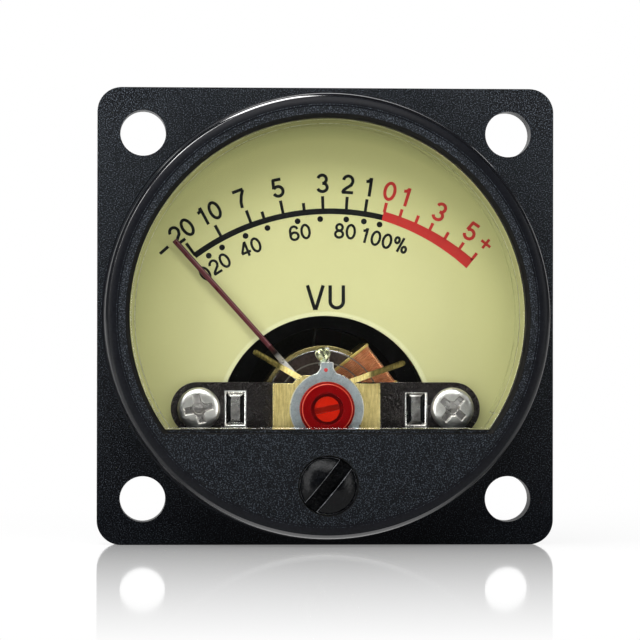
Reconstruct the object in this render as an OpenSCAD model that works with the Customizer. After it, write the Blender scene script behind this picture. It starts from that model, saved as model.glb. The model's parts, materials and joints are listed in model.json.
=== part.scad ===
// Panel meter with a moving coil, a round window and a square flange.
// Millimetres. +Z is up and the dial looks along -Y. The origin is the middle of the four
// fixing holes, on the rear face of the flange. A height is a distance in front of that face.

/* [Flange] */
// Distance from a fixing hole's centre to the flange's edge
hole_margin = 4.5; // [3.5:0.1:7]
// Thickness of the flange
flange_thickness = 3; // [2.5:0.25:4]
// Corner radius of the flange
flange_corner = 2.4; // [1.5:0.1:3]
// Least land between a fixing hole and the bezel's foot
hole_land = 1.4; // [0.8:0.1:4]
// Diameter of a fixing hole
hole_diameter = 4.5; // [3:0.1:4.8]

/* [Bezel] */
// Wall of the bezel round the rear case, at its front edge
bezel_wall = 0.55; // [0.5:0.05:1.2]
// How much further out the bezel stands at its foot
bezel_draft = 0.7; // [0:0.05:1]
// Rounded front edge of the bezel
bezel_edge = 0.5; // [0.2:0.05:0.7]
// Width of the bezel's lip round the window
lip_width = 1.8; // [1.4:0.05:2.2]
// Bevel on the window's edge
window_bevel = 0.35; // [0.1:0.05:0.5]
// Thickness of the bezel's lip and of the lower mask
lip_thickness = 1.6; // [1.2:0.1:2]
// Drop of the mask's straight edge below the pivot
mask_below_pivot = 1.95; // [1.4:0.05:2.3]

/* [Rear case] */
// Outer diameter of the rear case
can_diameter = 41; // [40.6:0.1:41.4]
// Wall of the rear case
can_wall = 1.2; // [1:0.1:1.4]
// Depth of the rear case behind the panel
can_depth = 21; // [21:0.5:28]
// Thickness of the rear case's floor
can_floor = 1.5; // [1:0.1:2]
// Drop of the two case screws below the pivot
case_screw_drop = 4.5; // [4.4:0.05:6]
// Diameter of a case screw
case_screw_diameter = 1.4; // [1:0.1:1.6]

/* [Window lens] */
// Thickness of the window
lens_thickness = 1; // [0.8:0.1:1.3]
// Gap between the bezel's front and the window's face
lens_recess = 0.8; // [0.6:0.1:1.2]
// Gap between the lock nut and the window
lens_clearance = 0.6; // [0.3:0.1:2]
// Thickness of the clear skirt that holds the dial down
skirt_thickness = 0.4; // [0.3:0.05:0.6]

/* [Dial] */
// Height of the dial's face above the panel
dial_face = 1.6; // [1.4:0.1:1.8]
// Thickness of the dial plate
dial_thickness = 0.8; // [0.6:0.1:1]
// Radius of the round cut-out around the movement
cutout_radius = 10.4; // [10.2:0.1:10.6]
// Drop of the cut-out's centre below the pivot
cutout_drop = 1.25; // [1:0.05:1.5]

/* [Movement] */
// Gap between the yoke ring and the rear case
yoke_gap = 0.4; // [0.2:0.05:2]
// Diameter of the core magnet
core_diameter = 11.6; // [11:0.1:11.8]
// Length of the core magnet
core_length = 9; // [6:0.25:9.5]
// Wall of the sleeve around the core
sleeve_wall = 0.4; // [0.2:0.05:0.5]
// Wall of the yoke ring
yoke_wall = 1.85; // [1.75:0.05:2.1]
// Gap between the yoke ring and the coil's corners
air_gap = 0.2; // [0.15:0.05:0.4]
// Width of the coil across its flanges
coil_width = 4.9; // [4:0.1:5]
// Angle from the pointer to the coil
coil_angle = 94; // [90:1:96]
// Thickness of the copper winding
winding_thickness = 0.6; // [0.3:0.05:0.65]
// Wall of the coil bobbin
bobbin_wall = 0.15; // [0.1:0.05:0.2]
// Thickness of the core strap
strap_thickness = 0.7; // [0.4:0.05:1]
// Width of the core strap and the rear bridge
strap_width = 2.6; // [2:0.1:2.8]

/* [Pointer] */
// Gap between the pointer's tip and the window's skirt at the end of the swing
tip_gap = 0.2; // [0.15:0.05:3]
// Rest angle of the pointer, to the right of upright
pointer_rest = -42; // [-43:0.5:-41]
// Thickness of the pointer
pointer_thickness = 0.3; // [0.2:0.05:0.35]
// Width of the pointer near the pivot
pointer_base_width = 0.6; // [0.4:0.05:0.7]
// Width of the pointer at its tip
pointer_tip_width = 0.18; // [0.1:0.02:0.3]

/* [Mounting strip] */
// Distance from an ear screw to the strip's end
ear_margin = 2.75; // [2.3:0.05:3]
// Width of the strip
strip_width = 5.2; // [4.6:0.1:5.3]
// Thickness of the strip
strip_thickness = 1; // [0.8:0.05:1.1]
// Gap between the yoke ring and the posts under the ear screws
ear_gap = 0.7; // [0.3:0.05:0.9]
// Diameter of an ear screw's shank
ear_screw_diameter = 1.8; // [1.4:0.1:2]
// Diameter of an ear screw's head
ear_head_diameter = 4.2; // [3.6:0.1:4.4]
// Height of an ear screw's head
ear_head_height = 1.1; // [0.8:0.1:1.4]

/* [Front bridge] */
// Width of the bridge
bridge_width = 10.55; // [10.2:0.05:10.8]
// Thickness of the bridge
bridge_thickness = 0.8; // [0.6:0.05:0.9]
// Length of the bridge's legs
bridge_leg = 1; // [0.9:0.05:1.1]
// Angle of the left stop, left of upright
stop_left = 51.3; // [50:0.5:54]
// Angle of the right stop, right of upright
stop_right = 59.5; // [58:0.5:62]
// Width of a stop arm
stop_width = 0.55; // [0.4:0.05:0.6]

/* [Zero adjuster] */
// Drop of the zero screw's axis below the pivot
zero_drop = 7.4; // [7.2:0.05:7.6]
// Diameter of the zero screw's head
zero_head_diameter = 5.6; // [5:0.1:5.8]
// Width of the zero screw's slot
zero_slot_width = 1.4; // [0.8:0.1:1.6]
// Direction of the slot, to the right of upright
zero_slot_angle = 39; // [0:1:90]
// Throw of the eccentric pin
zero_throw = 0.8; // [0.5:0.05:0.9]
// Diameter of the eccentric pin
zero_pin_diameter = 1; // [0.8:0.05:1.1]
// Outer diameter of the adjuster ring
ring_diameter = 7.3; // [6.9:0.1:7.5]
// Thickness of the adjuster lever
lever_thickness = 0.4; // [0.3:0.05:0.5]
// Diameter of the lock nut's flange
nut_diameter = 5.4; // [5:0.1:5.8]
// Diameter of the jewel screws
jewel_screw_diameter = 2.5; // [2.2:0.1:2.7]

/* [Hairsprings] */
// Outer radius of the front hairspring
spring_radius = 5.7; // [5.3:0.1:5.8]
// Thickness of a hairspring's strip
spring_strip = 0.12; // [0.08:0.01:0.16]
// Width of a hairspring's strip
spring_blade = 0.5; // [0.3:0.05:0.55]
// Turns of a hairspring
spring_turns = 4; // [2:1:5]

/* [Lighting] */
// Number of lamps on the board
lamp_count = 3; // [1:1:4]
// Distance between neighbouring lamps
lamp_pitch = 5.2; // [4.2:0.1:5.4]
// Height of the lamp board behind the panel
lamp_board_depth = 9; // [6:0.5:12]

/* [Hidden] */
$fn = 64;
// Clearances
slide_gap = 0.05;   // between flat faces that turn past each other
running_gap = 0.1;  // round a turning shaft or pin, and on each side of the fork
fit_gap = 0.1;      // round a part that drops into a recess
sweep_gap = 0.3;    // between a moving piece and a still one
cut = 1;            // how far a cutter reaches past the face that it opens

// Case
hole_radius = hole_diameter / 2;
can_radius = can_diameter / 2;
case_bore = can_radius + slide_gap;
can_inside = can_radius - can_wall;
floor_inside = -can_depth + can_floor;
bezel_front_radius = case_bore + bezel_wall;
bezel_base_radius = bezel_front_radius + bezel_draft;
window_radius = bezel_front_radius - lip_width;
hole_diagonal = bezel_base_radius + hole_land + hole_radius;
hole_pitch = round(sqrt(2) * hole_diagonal * 10) / 10;
flange_size = hole_pitch + 2 * hole_margin;
rim_thickness = can_wall / 2;
dial_back = dial_face - dial_thickness;
rim_top = dial_face + 0.6;
catch_width = 5;
catch_reach = 0.5;
catch_low = dial_face - 0.4;
catch_high = dial_face + 0.3;

// Movement, from the dial backwards
strip_front = dial_face + strip_thickness;
strip_opening = 1.6;
spring_gap = 0.25;
spring_high = dial_face - spring_gap - 0.1;
spring_low = spring_high - spring_blade;
pointer_low = spring_low - spring_gap - pointer_thickness;
pointer_level = dial_face + 0.5;
pointer_bend_start = spring_radius + 0.5;
pointer_bend_run = 2.2;
pointer_bend_end = pointer_bend_start + pointer_bend_run;
pointer_bend_shift = 0.15;
pointer_hub_radius = 1;
pointer_taper_start = 4;
pointer_furthest = 55;
cross_thickness = 0.2;
coil_front = pointer_low - cross_thickness;
winding_sink = 0.15;
coil_wall = bobbin_wall + winding_thickness + winding_sink;
coil_inner_front = coil_front - coil_wall;
core_radius = core_diameter / 2;
sleeve_radius = core_radius + sleeve_wall;
core_front = coil_inner_front - sweep_gap;
core_back = core_front - core_length;
strap_back = core_back - strap_thickness;
coil_inner_back = strap_back - sweep_gap;
coil_back = coil_inner_back - coil_wall;
coil_reach = sleeve_radius + 0.25;
coil_end = coil_reach + coil_wall;
flange_plate = 0.25;
yoke_bore_radius = norm([coil_end, coil_width / 2]) + air_gap;
yoke_radius = yoke_bore_radius + yoke_wall;
pivot_drop = round((can_inside - yoke_radius - yoke_gap) * 100) / 100;
pivot_z = -pivot_drop;
yoke_front = core_front - 0.3;
tenon_width = 1.5;
tenon_height = 2.9;
tenon_x = yoke_radius - tenon_width / 2 - 0.15;
tenon_rise = 0.15;
tenon_shoulder = 0.5;
post_radius = 2;
ear_x = yoke_radius + ear_gap + post_radius;
strip_length = 2 * (ear_x + ear_margin);
ear_screw_depth = 5;
ear_head_side = ear_head_height * 0.6;
ear_head_top = ear_head_diameter * 0.36;
ear_slot_width = 0.55;
ear_slot_floor = 0.35;
ear_slot_length = ear_head_diameter * 0.6;
ear_slot_turns = [-12, 40];

// Front bridge and adjuster, from the strip forwards
bridge_back = strip_front + bridge_leg;
bridge_front = bridge_back + bridge_thickness;
lever_back = bridge_front + slide_gap;
lever_front = lever_back + lever_thickness;
nut_back = lever_front + slide_gap;
nut_thickness = 0.9;
nut_chamfer = 0.25;
nut_front = nut_back + nut_thickness;
bush_radius = jewel_screw_diameter / 2 + 0.65;
screw_radius = jewel_screw_diameter / 2;
screw_front = nut_front - 0.35;
nut_recess = screw_radius + 0.3;
nut_recess_depth = 0.6;
ring_radius = ring_diameter / 2;
bridge_top = 2.5;
leg_thickness = 0.77;
bridge_tenon_height = 1.6;
neck_half_width = 3.2;
neck_top = 3.3;
neck_flare = 0.5;
neck_corner = 0.6;
stop_thickness = 0.5;
stop_low = pointer_level - 0.05;
stop_radius = pointer_bend_end + 0.7;
left_stop_base = [-39, 3.7];
right_stop_base = [35, 3];
lug_width = 1.3;
lug_radius = ring_radius + 0.95;
lug_foot_low = spring_high + 0.05;
lug_foot_thickness = 0.35;
lug_foot_width = 0.8;
lever_stem_width = 1.8;
solder_low_radius = 0.48;
solder_high_radius = 0.3;
solder_height = 0.35;

// Staffs, jewels and hairsprings, as distances from the coil's face
staff_radius = 0.35;
pivot_radius = 0.04;
staff_foot_radius = 1.2;
cone_length = 1.05;
front_staff = 2.6;
rear_staff = 1.4;
jewel_radius = 0.6;
jewel_length = 0.6;
jewel_past_tip = 0.2;
jewel_cup_radius = 0.36;
jewel_cup_depth = 0.6;
jewel_cup_past_tip = 0.1;
screw_start = 0.25;
jewel_slot_width = 0.57;
jewel_slot_depth = 0.45;
front_slot_angle = 78.5;
rear_slot_angle = 30;
collet_radius = 0.9;
collet_length = 0.8;
rear_spring_low = 0.5;
rear_spring_radius = 5.2;
rear_bridge_front = 2;
rear_bridge_thickness = 1;
washer_thickness = 0.3;
arm_thickness = 0.3;
rear_nut_thickness = 0.9;
rear_screw_length = 3.4;
rear_nut_radius = 2.1;
rear_washer_low = rear_bridge_front + rear_bridge_thickness;
rear_arm_low = rear_washer_low + washer_thickness;
rear_nut_low = rear_arm_low + arm_thickness;
rear_lug_thickness = 0.4;
rear_arm_width = 1;
rear_arm_reach = rear_spring_radius + spring_strip / 2 + rear_lug_thickness;
strap_angle = 8;
frame_screw_radius = 0.55;
frame_screw_head = 1;
frame_screw_head_height = 0.7;
frame_screw_slot = 0.3;
frame_screw_depth = 2.5;
frame_screw_place = (yoke_radius + yoke_bore_radius) / 2;
tail_length = 5.2;
side_arm_length = 3.2;
arm_width = 0.5;
tail_weight_length = 1.4;
side_weight_length = 0.8;
weight_wall = 0.15;

// Lens and dial, from the lock nut forwards
lens_back = nut_front + lens_clearance;
lens_face = lens_back + lens_thickness;
case_height = lens_face + lens_recess;
lip_back = case_height - lip_thickness;
lens_radius = window_radius - fit_gap;
lens_rim_radius = case_bore - fit_gap;
lens_rim_thickness = 1;
skirt_radius = lens_radius - skirt_thickness;
mask_drop = pivot_drop + mask_below_pivot;
lens_drop = mask_drop - fit_gap;
skirt_drop = pivot_drop + 0.4;
dial_radius = can_radius - rim_thickness - slide_gap;
tip_limit = sqrt(pow(skirt_radius - tip_gap, 2) - pow(pivot_drop * sin(pointer_furthest), 2));
pointer_length = round((tip_limit + pivot_drop * cos(pointer_furthest)) * 10) / 10;

// Case screws, their columns in the rear case and their pillars behind the mask
column_radius = case_screw_diameter / 2 + 1.3;
case_screw_radius = can_inside - column_radius + 1.1;
case_screw_z = pivot_z - case_screw_drop;
case_screw_x = sqrt(pow(case_screw_radius, 2) - pow(case_screw_z, 2));
case_screw_head = case_screw_diameter * 1.9;
case_screw_head_height = 1;
case_screw_slot = 0.35;
pillar_radius = case_screw_diameter / 2 + 0.9;
column_recess = case_screw_head / 2 + fit_gap;
column_floor = 4;
case_screw_reach = 4.2;
dial_drop = -case_screw_z - pillar_radius - 0.2;

// Zero screw
zero_z = pivot_z - zero_drop;
zero_head_radius = zero_head_diameter / 2;
zero_shaft_radius = 1.6;
zero_boss_radius = zero_head_radius + 0.8;
zero_floor = lip_back + 0.3;
zero_head_front = zero_floor + slide_gap + 1.05;
zero_dome = 1;
zero_slot_floor = zero_head_front - 0.35;
zero_shaft_end = lever_front + 0.15;
zero_clip_back = zero_shaft_end + 0.25;
zero_clip_thickness = 0.3;
zero_clip_radius = 2.6;
zero_boss_back = zero_clip_back + zero_clip_thickness + slide_gap;
zero_pin_end = lever_back - 0.15;
fork_slot = zero_pin_diameter + 2 * running_gap;
fork_prong = 0.7;
fork_top = zero_drop - zero_throw - zero_pin_diameter / 2 - 0.3;
fork_bottom = zero_drop + 0.3;

// Lighting and wiring
board_front = -lamp_board_depth + 0.4;
board_thickness = 0.8;
board_z = can_inside - 9.7;
board_height = 6.4;
board_overhang = 3;
board_width = lamp_count * lamp_pitch + 2 * board_overhang;
board_post_x = board_width / 2 - 1.2;
board_post_radius = 1;
board_pin_radius = 0.5;
lamp_size = 2.8;
lamp_base = 1;
lamp_lens_radius = 1.1;
lamp_lens_height = 0.9;
terminal_radius = 0.6;
terminal_collar = 1.3;
terminal_length = 4;
terminal_stub = 1.6;
terminal_top = floor_inside + terminal_stub;
signal_x = can_inside - 6.3;
signal_z = -1.5;
lamp_terminal_x = 4;
lamp_terminal_z = can_inside - 5.7;
terminal_collar_height = 0.6;
wire_radius = 0.35;
wire_sides = 8;
wire_top = terminal_top + wire_radius;
lamp_shift = 0.8;
lamp_lens_top_radius = 0.65;
resistor_size = [3.2, 1.5, 0.6];
resistor_z = board_z - 2.9;
fine_wire_radius = 0.06;
fine_wire_x = 0.9;
fine_wire_ends = [-3, -1.3];
fine_wire_rise = [0.12, 0.25];

// ---- Shapes that repeat ----

// A front-view outline, as a plate between two heights
module layer(low, high) {
    translate([0, -low, 0]) rotate([90, 0, 0]) linear_extrude(high - low) children();
}

// A round bar between two heights
module bar(radius, low, high, x = 0, z = 0) {
    translate([x, -low, z]) rotate([90, 0, 0]) cylinder(h = high - low, r = radius);
}

// A round bar that changes from one radius to another
module taper(radius_low, radius_high, low, high, x = 0, z = 0) {
    translate([x, -low, z]) rotate([90, 0, 0])
        cylinder(h = high - low, r1 = radius_low, r2 = radius_high);
}

// A block of a given width, between two heights and two levels
module slab(width, low, high, bottom, top, x = 0) {
    translate([x - width / 2, -high, bottom]) cube([width, high - low, top - bottom]);
}

// What is drawn upwards from the pivot, turned to the right of upright
module aimed(angle) {
    translate([0, 0, pivot_z]) rotate([0, angle, 0]) children();
}

// A copy on the left and one on the right
module both_sides() {
    children();
    mirror([1, 0, 0]) children();
}

// Everything above a level, as an outline
module above(level) {
    translate([-flange_size, level]) square([2 * flange_size, flange_size]);
}

// A disc whose lower part is cut off straight
module cut_disc(radius, drop) {
    intersection() {
        circle(radius);
        above(-drop);
    }
}

// What is drawn in front of the plane, turned round to look backwards from it
module backwards(plane) {
    translate([0, -plane, 0]) mirror([0, 1, 0]) children();
}

// ---- Case ----

// Square with round corners
module rounded_square(side, corner) {
    inner = side / 2 - corner;
    square([side, 2 * inner], center = true);
    square([2 * inner, side], center = true);
    for (x = [-inner, inner], z = [-inner, inner]) translate([x, z]) circle(corner);
}

// The drafted bezel with its chamfered front edge, bored for the rear case
module bezel() {
    base = bezel_base_radius;
    front = bezel_front_radius;
    difference() {
        union() {
            bar(base, 0, flange_thickness);
            taper(base, front, flange_thickness, case_height - bezel_edge);
            taper(front, front - bezel_edge, case_height - bezel_edge, case_height);
        }
        bar(case_bore, -cut, lip_back);
        layer(lip_back - cut, case_height + cut) cut_disc(window_radius, mask_drop);
        intersection() {
            taper(window_radius, window_radius + window_bevel, case_height - window_bevel, case_height);
            layer(lip_back, case_height + cut) above(-mask_drop - window_bevel);
        }
    }
}

module front_case() color("#1b1e24") {
    difference() {
        union() {
            difference() {
                layer(0, flange_thickness) rounded_square(flange_size, flange_corner);
                bar(case_bore, -cut, flange_thickness + cut);
            }
            bezel();
            bar(zero_boss_radius, zero_boss_back, lip_back + slide_gap, 0, zero_z);
        }
        for (x = [-1, 1], z = [-1, 1])
            bar(hole_radius, -cut, flange_thickness + cut, x * hole_pitch / 2, z * hole_pitch / 2);
        bar(zero_shaft_radius + running_gap, zero_boss_back - cut, case_height, 0, zero_z);
        bar(zero_head_radius + running_gap, zero_floor, case_height + cut, 0, zero_z);
        catch_block(fit_gap);
    }
    both_sides() translate([case_screw_x, 0, case_screw_z]) difference() {
        bar(pillar_radius, dial_back, lip_back + slide_gap);
        bar(case_screw_diameter / 2, dial_back - cut, case_screw_reach + fit_gap);
    }
}

// The nib on the rear case's rim that snaps into the front case
module catch_block(gap) {
    slab(catch_width + 2 * gap, catch_low - gap, catch_high + gap, can_radius - rim_thickness,
        can_radius + catch_reach + gap);
}

module rear_case() color("#16181c") {
    difference() {
        bar(can_radius, -can_depth, rim_top);
        bar(can_inside, floor_inside, rim_top + cut);
        bar(dial_radius + slide_gap, dial_back, rim_top + cut);
        both_sides() bar(column_radius, -can_depth - cut, rim_top + cut, case_screw_x, case_screw_z);
        terminal_places() bar(terminal_radius, -can_depth - cut, floor_inside + cut);
    }
    both_sides() {
        case_column();
        difference() {
            bar(post_radius, floor_inside, dial_back, ear_x, pivot_z);
            bar(ear_screw_diameter / 2, dial_back - ear_screw_depth, dial_back + cut, ear_x, pivot_z);
        }
        bar(board_post_radius, floor_inside, board_front - board_thickness, board_post_x, board_z);
        bar(board_pin_radius, floor_inside, board_front + 0.5, board_post_x, board_z);
    }
    catch_block(0);
}

// The column that a case screw passes, open at the back for the screw's head
module case_column() translate([case_screw_x, 0, case_screw_z]) difference() {
    bar(column_radius, -can_depth, dial_back);
    bar(column_recess, -can_depth - cut, -column_floor);
    bar(case_screw_diameter / 2 + fit_gap, -can_depth, dial_back + cut);
}

// A screw that looks backwards, with a cross recess in its pan head
module case_screws() color("#9a9da3") both_sides() translate([case_screw_x, 0, case_screw_z]) {
    head_end = -column_floor - case_screw_head_height;
    difference() {
        union() {
            bar(case_screw_head / 2, head_end, -column_floor);
            bar(case_screw_diameter / 2, -column_floor, case_screw_reach);
        }
        for (turn = [0, 90]) rotate([0, turn, 0])
            slab(case_screw_slot, head_end - cut, head_end + case_screw_head_height / 2,
                -case_screw_head / 3, case_screw_head / 3);
    }
}

module window_lens() color("#dfe8ee", 0.3) {
    layer(lens_back, lens_face) cut_disc(lens_radius, lens_drop);
    layer(lip_back - lens_rim_thickness, lip_back) difference() {
        cut_disc(lens_rim_radius, lens_drop);
        circle(skirt_radius);
    }
    layer(dial_face, lens_face - lens_thickness / 2) difference() {
        cut_disc(lens_radius, skirt_drop);
        circle(skirt_radius);
    }
}

module dial_plate() color("#d8d6a0") layer(dial_back, dial_face) difference() {
    cut_disc(dial_radius, dial_drop);
    translate([0, pivot_z - cutout_drop]) circle(cutout_radius);
    both_sides() translate([ear_x, pivot_z]) circle(ear_screw_diameter / 2 + fit_gap);
}

// ---- Fixed parts of the movement ----

module mounting_strip() color("#4b4a4d") at_pivot() difference() {
    ear = strip_width / 2;
    union() {
        slab(strip_length - strip_width, dial_face, strip_front, -ear, ear);
        both_sides() bar(ear, dial_face, strip_front, strip_length / 2 - ear);
    }
    bar(strip_opening, dial_face - cut, strip_front + cut);
    both_sides() {
        bar(ear_screw_diameter / 2 + fit_gap, dial_face - cut, strip_front + cut, ear_x);
        slab(tenon_width, dial_face - cut, strip_front + cut, -tenon_height / 2,
            tenon_height / 2, tenon_x);
        bridge_tenon(dial_face - cut, strip_front + cut);
    }
}

// The tenon under each of the bridge's legs, and its slot in the strip
module bridge_tenon(low, high) {
    slab(leg_thickness, low, high, -bridge_tenon_height / 2, bridge_tenon_height / 2,
        bridge_width / 2 - leg_thickness / 2);
}

module ear_screws() color("#b5b5b8") at_pivot() {
    translate([-ear_x, 0, 0]) ear_screw(ear_slot_turns[0]);
    translate([ear_x, 0, 0]) ear_screw(ear_slot_turns[1]);
}

module ear_screw(slot_turn) difference() {
    head_side = strip_front + ear_head_side;
    head_front = strip_front + ear_head_height;
    union() {
        bar(ear_head_diameter / 2, strip_front, head_side);
        taper(ear_head_diameter / 2, ear_head_top, head_side, head_front);
        bar(ear_screw_diameter / 2, dial_back - ear_screw_depth, strip_front);
    }
    for (turn = [0, 90]) rotate([0, slot_turn + turn, 0])
        slab(ear_slot_width, strip_front + ear_slot_floor, head_front + cut,
            -ear_slot_length / 2, ear_slot_length / 2);
}

module yoke_ring() color("#2b2b2e") at_pivot() difference() {
    union() {
        bar(yoke_radius, core_back, yoke_front);
        both_sides() {
            intersection() {
                bar(yoke_radius, yoke_front - cut, dial_face);
                slab(tenon_width, yoke_front - cut, dial_face, -tenon_height / 2 - tenon_shoulder,
                    tenon_height / 2 + tenon_shoulder, tenon_x);
            }
            slab(tenon_width, yoke_front, strip_front + tenon_rise, -tenon_height / 2,
                tenon_height / 2, tenon_x);
        }
    }
    bar(yoke_bore_radius, core_back - cut, yoke_front + cut);
    frame_screw_places() bar(frame_screw_radius, core_back - cut, core_back + frame_screw_depth);
}

module at_pivot() aimed(0) children();

// The two screws that hold the core strap and the rear bridge to the yoke
module frame_screw_places() for (turn = [strap_angle, strap_angle + 180]) rotate([0, turn, 0])
    translate([0, 0, frame_screw_place]) children();

module core_magnet() color("#5a585a") at_pivot() bar(core_radius, core_back, core_front);

module core_sleeve() color("#b79a4a") at_pivot() difference() {
    bar(sleeve_radius, core_back, core_front);
    bar(core_radius, core_back - cut, core_front + cut);
}

// A straight plate through the pivot that ends on the yoke's outer wall
module strap_plate(low, high) intersection() {
    bar(yoke_radius, low, high);
    rotate([0, strap_angle, 0]) slab(strap_width, low, high, -yoke_radius, yoke_radius);
}

module core_strap() color("#a8a9ad") at_pivot() difference() {
    strap_plate(strap_back, core_back);
    frame_screw_places() bar(frame_screw_radius, strap_back - cut, core_back + cut);
}

module rear_bridge() color("#a8a9ad") at_pivot() {
    front = coil_back - rear_bridge_front;
    back = front - rear_bridge_thickness;
    difference() {
        strap_plate(back, strap_back);
        bar(yoke_bore_radius, front, strap_back + cut);
        bar(screw_radius, back - cut, front + cut);
        frame_screw_places() bar(frame_screw_radius, back - cut, strap_back + cut);
    }
}

module frame_screws() color("#9a9da3") at_pivot() frame_screw_places() {
    back = coil_back - rear_bridge_front - rear_bridge_thickness;
    difference() {
        bar(frame_screw_head, back - frame_screw_head_height, back);
        slab(frame_screw_slot, back - frame_screw_head_height - cut,
            back - frame_screw_head_height / 2, -frame_screw_head - cut, frame_screw_head + cut);
    }
    bar(frame_screw_radius, back, core_back + frame_screw_depth);
}

// A stop arm that bends back from the bridge's neck to the pointer's path
module stop_arm(angle, base_angle, base_radius) {
    base = base_radius * [sin(base_angle), cos(base_angle)];
    tip = (stop_radius - stop_width / 2) * [sin(angle), cos(angle)];
    run = norm(tip - base);
    turn = atan2(tip[0] - base[0], tip[1] - base[1]);
    translate([base[0], 0, base[1]]) rotate([0, turn, 0]) {
        side_profile(stop_width) polygon([
            [0, -bridge_back], [0, -bridge_front],
            [run, -stop_low - stop_thickness], [run, -stop_low]
        ]);
        bar(stop_width / 2, stop_low, stop_low + stop_thickness, 0, run);
    }
}

// An outline seen from the side, extruded across the line that it runs along
module side_profile(width) {
    translate([width / 2, 0, 0]) rotate([0, -90, 0]) linear_extrude(width) children();
}

module front_bridge() color("#c9b063") at_pivot() difference() {
    union() {
        slab(bridge_width, bridge_back, bridge_front, -strip_width / 2, bridge_top);
        layer(bridge_back, bridge_front) polygon([
            [-neck_half_width - neck_flare, 0], [-neck_half_width, neck_top - neck_corner],
            [-neck_half_width + 1.5 * neck_corner, neck_top],
            [neck_half_width - 2.5 * neck_corner, neck_top],
            [neck_half_width - neck_corner, neck_top - 1.5 * neck_corner],
            [neck_half_width + neck_flare, 0]
        ]);
        both_sides() {
            slab(leg_thickness, strip_front, bridge_front, -strip_width / 2, bridge_top,
                bridge_width / 2 - leg_thickness / 2);
            bridge_tenon(dial_face, bridge_front);
        }
        stop_arm(-stop_left, left_stop_base[0], left_stop_base[1]);
        stop_arm(stop_right, right_stop_base[0], right_stop_base[1]);
    }
    bar(bush_radius, dial_face - cut, bridge_front + cut);
}

module lock_nut() color("#a51212") at_pivot() difference() {
    union() {
        bar(nut_diameter / 2, nut_back, nut_front - nut_chamfer);
        taper(nut_diameter / 2, nut_diameter / 2 - nut_chamfer, nut_front - nut_chamfer, nut_front);
        bar(bush_radius, bridge_back, nut_back);
    }
    bar(screw_radius, bridge_back - cut, nut_front + cut);
    bar(nut_recess, nut_front - nut_recess_depth, nut_front + cut);
}

// ---- Jewels and jewel screws, drawn forwards from the coil's face ----

// Tip of the staff above the coil's face, for a given straight length
function tip_of(staff) = staff + cone_length;

module jewel(tip) difference() {
    front = tip + jewel_past_tip;
    cup_end = tip + jewel_cup_past_tip;
    bar(jewel_radius, front - jewel_length, front);
    taper(jewel_cup_radius, 0, cup_end - jewel_cup_depth, cup_end);
}

module jewel_screw(tip, end, slot_angle) difference() {
    start = tip - jewel_length - screw_start;
    bar(screw_radius, start, end);
    bar(jewel_radius, start - cut, tip + jewel_past_tip);
    rotate([0, slot_angle, 0]) slab(jewel_slot_width, end - jewel_slot_depth, end + cut,
        -screw_radius - cut, screw_radius + cut);
}

module staff(length) {
    bar(staff_foot_radius, -winding_sink, 0);
    bar(staff_radius, -winding_sink, length);
    taper(staff_radius, pivot_radius, length, tip_of(length));
}

module collet(low) difference() {
    bar(collet_radius, low, low + collet_length);
    bar(staff_radius, low - cut, low + collet_length + cut);
}

// Point of the spiral at a part of its length, beside its middle line
function spiral_point(inner, outer, part, beside) = let (
    turn = 90 - 360 * spring_turns * (1 - part)
) (inner + (outer - inner) * part + beside) * [cos(turn), sin(turn)];

// A flat spiral strip, wound outwards and ending straight above its middle
module spiral(inner, outer, low, high) {
    steps = round(spring_turns * 24);
    inside = [for (i = [0 : steps]) spiral_point(inner, outer, i / steps, -spring_strip / 2)];
    outside = [for (i = [steps : -1 : 0]) spiral_point(inner, outer, i / steps, spring_strip / 2)];
    layer(low, high) polygon(concat(inside, outside));
}

module on_coil_face() translate([0, -coil_front, 0]) at_pivot() children();

module behind_coil() backwards(coil_back) at_pivot() children();

module front_jewel() color("#c23b6b") on_coil_face() jewel(tip_of(front_staff));

module front_jewel_screw() color("#d8401c") on_coil_face()
    jewel_screw(tip_of(front_staff), screw_front - coil_front, front_slot_angle);

module rear_jewel() color("#c23b6b") behind_coil() jewel(tip_of(rear_staff));

module rear_jewel_screw() color("#b7a15a") behind_coil() {
    tip = tip_of(rear_staff);
    jewel_screw(tip, tip - jewel_length - screw_start + rear_screw_length, rear_slot_angle);
}

// A ring round the rear jewel screw
module rear_ring(radius, low, high) difference() {
    bar(radius, low, high);
    bar(screw_radius, low - cut, high + cut);
}

module insulating_washer() color("#8a5a34") behind_coil()
    rear_ring(bush_radius + 0.4, rear_washer_low, rear_arm_low);

module rear_spring_arm() color("#c9b063") behind_coil() {
    rear_ring(bush_radius, rear_arm_low, rear_nut_low);
    rotate([0, 90, 0]) {
        slab(rear_arm_width, rear_arm_low, rear_nut_low, screw_radius + fit_gap, rear_arm_reach);
        slab(rear_arm_width, rear_spring_low, rear_nut_low, rear_arm_reach - rear_lug_thickness,
            rear_arm_reach);
    }
}

module rear_lock_nut() color("#b7a15a") behind_coil() difference() {
    layer(rear_nut_low, rear_nut_low + rear_nut_thickness) circle(rear_nut_radius, $fn = 6);
    bar(screw_radius, rear_nut_low - cut, rear_nut_low + rear_nut_thickness + cut);
}

module rear_hairspring() color("#cfd2d6") behind_coil() rotate([0, 90, 0])
    spiral(collet_radius + spring_strip, rear_spring_radius, rear_spring_low,
        rear_spring_low + spring_blade);

module front_hairspring() color("#cfd2d6") at_pivot()
    spiral(collet_radius + spring_strip, spring_radius, spring_low, spring_high);

// ---- Zero adjuster ----

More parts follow.
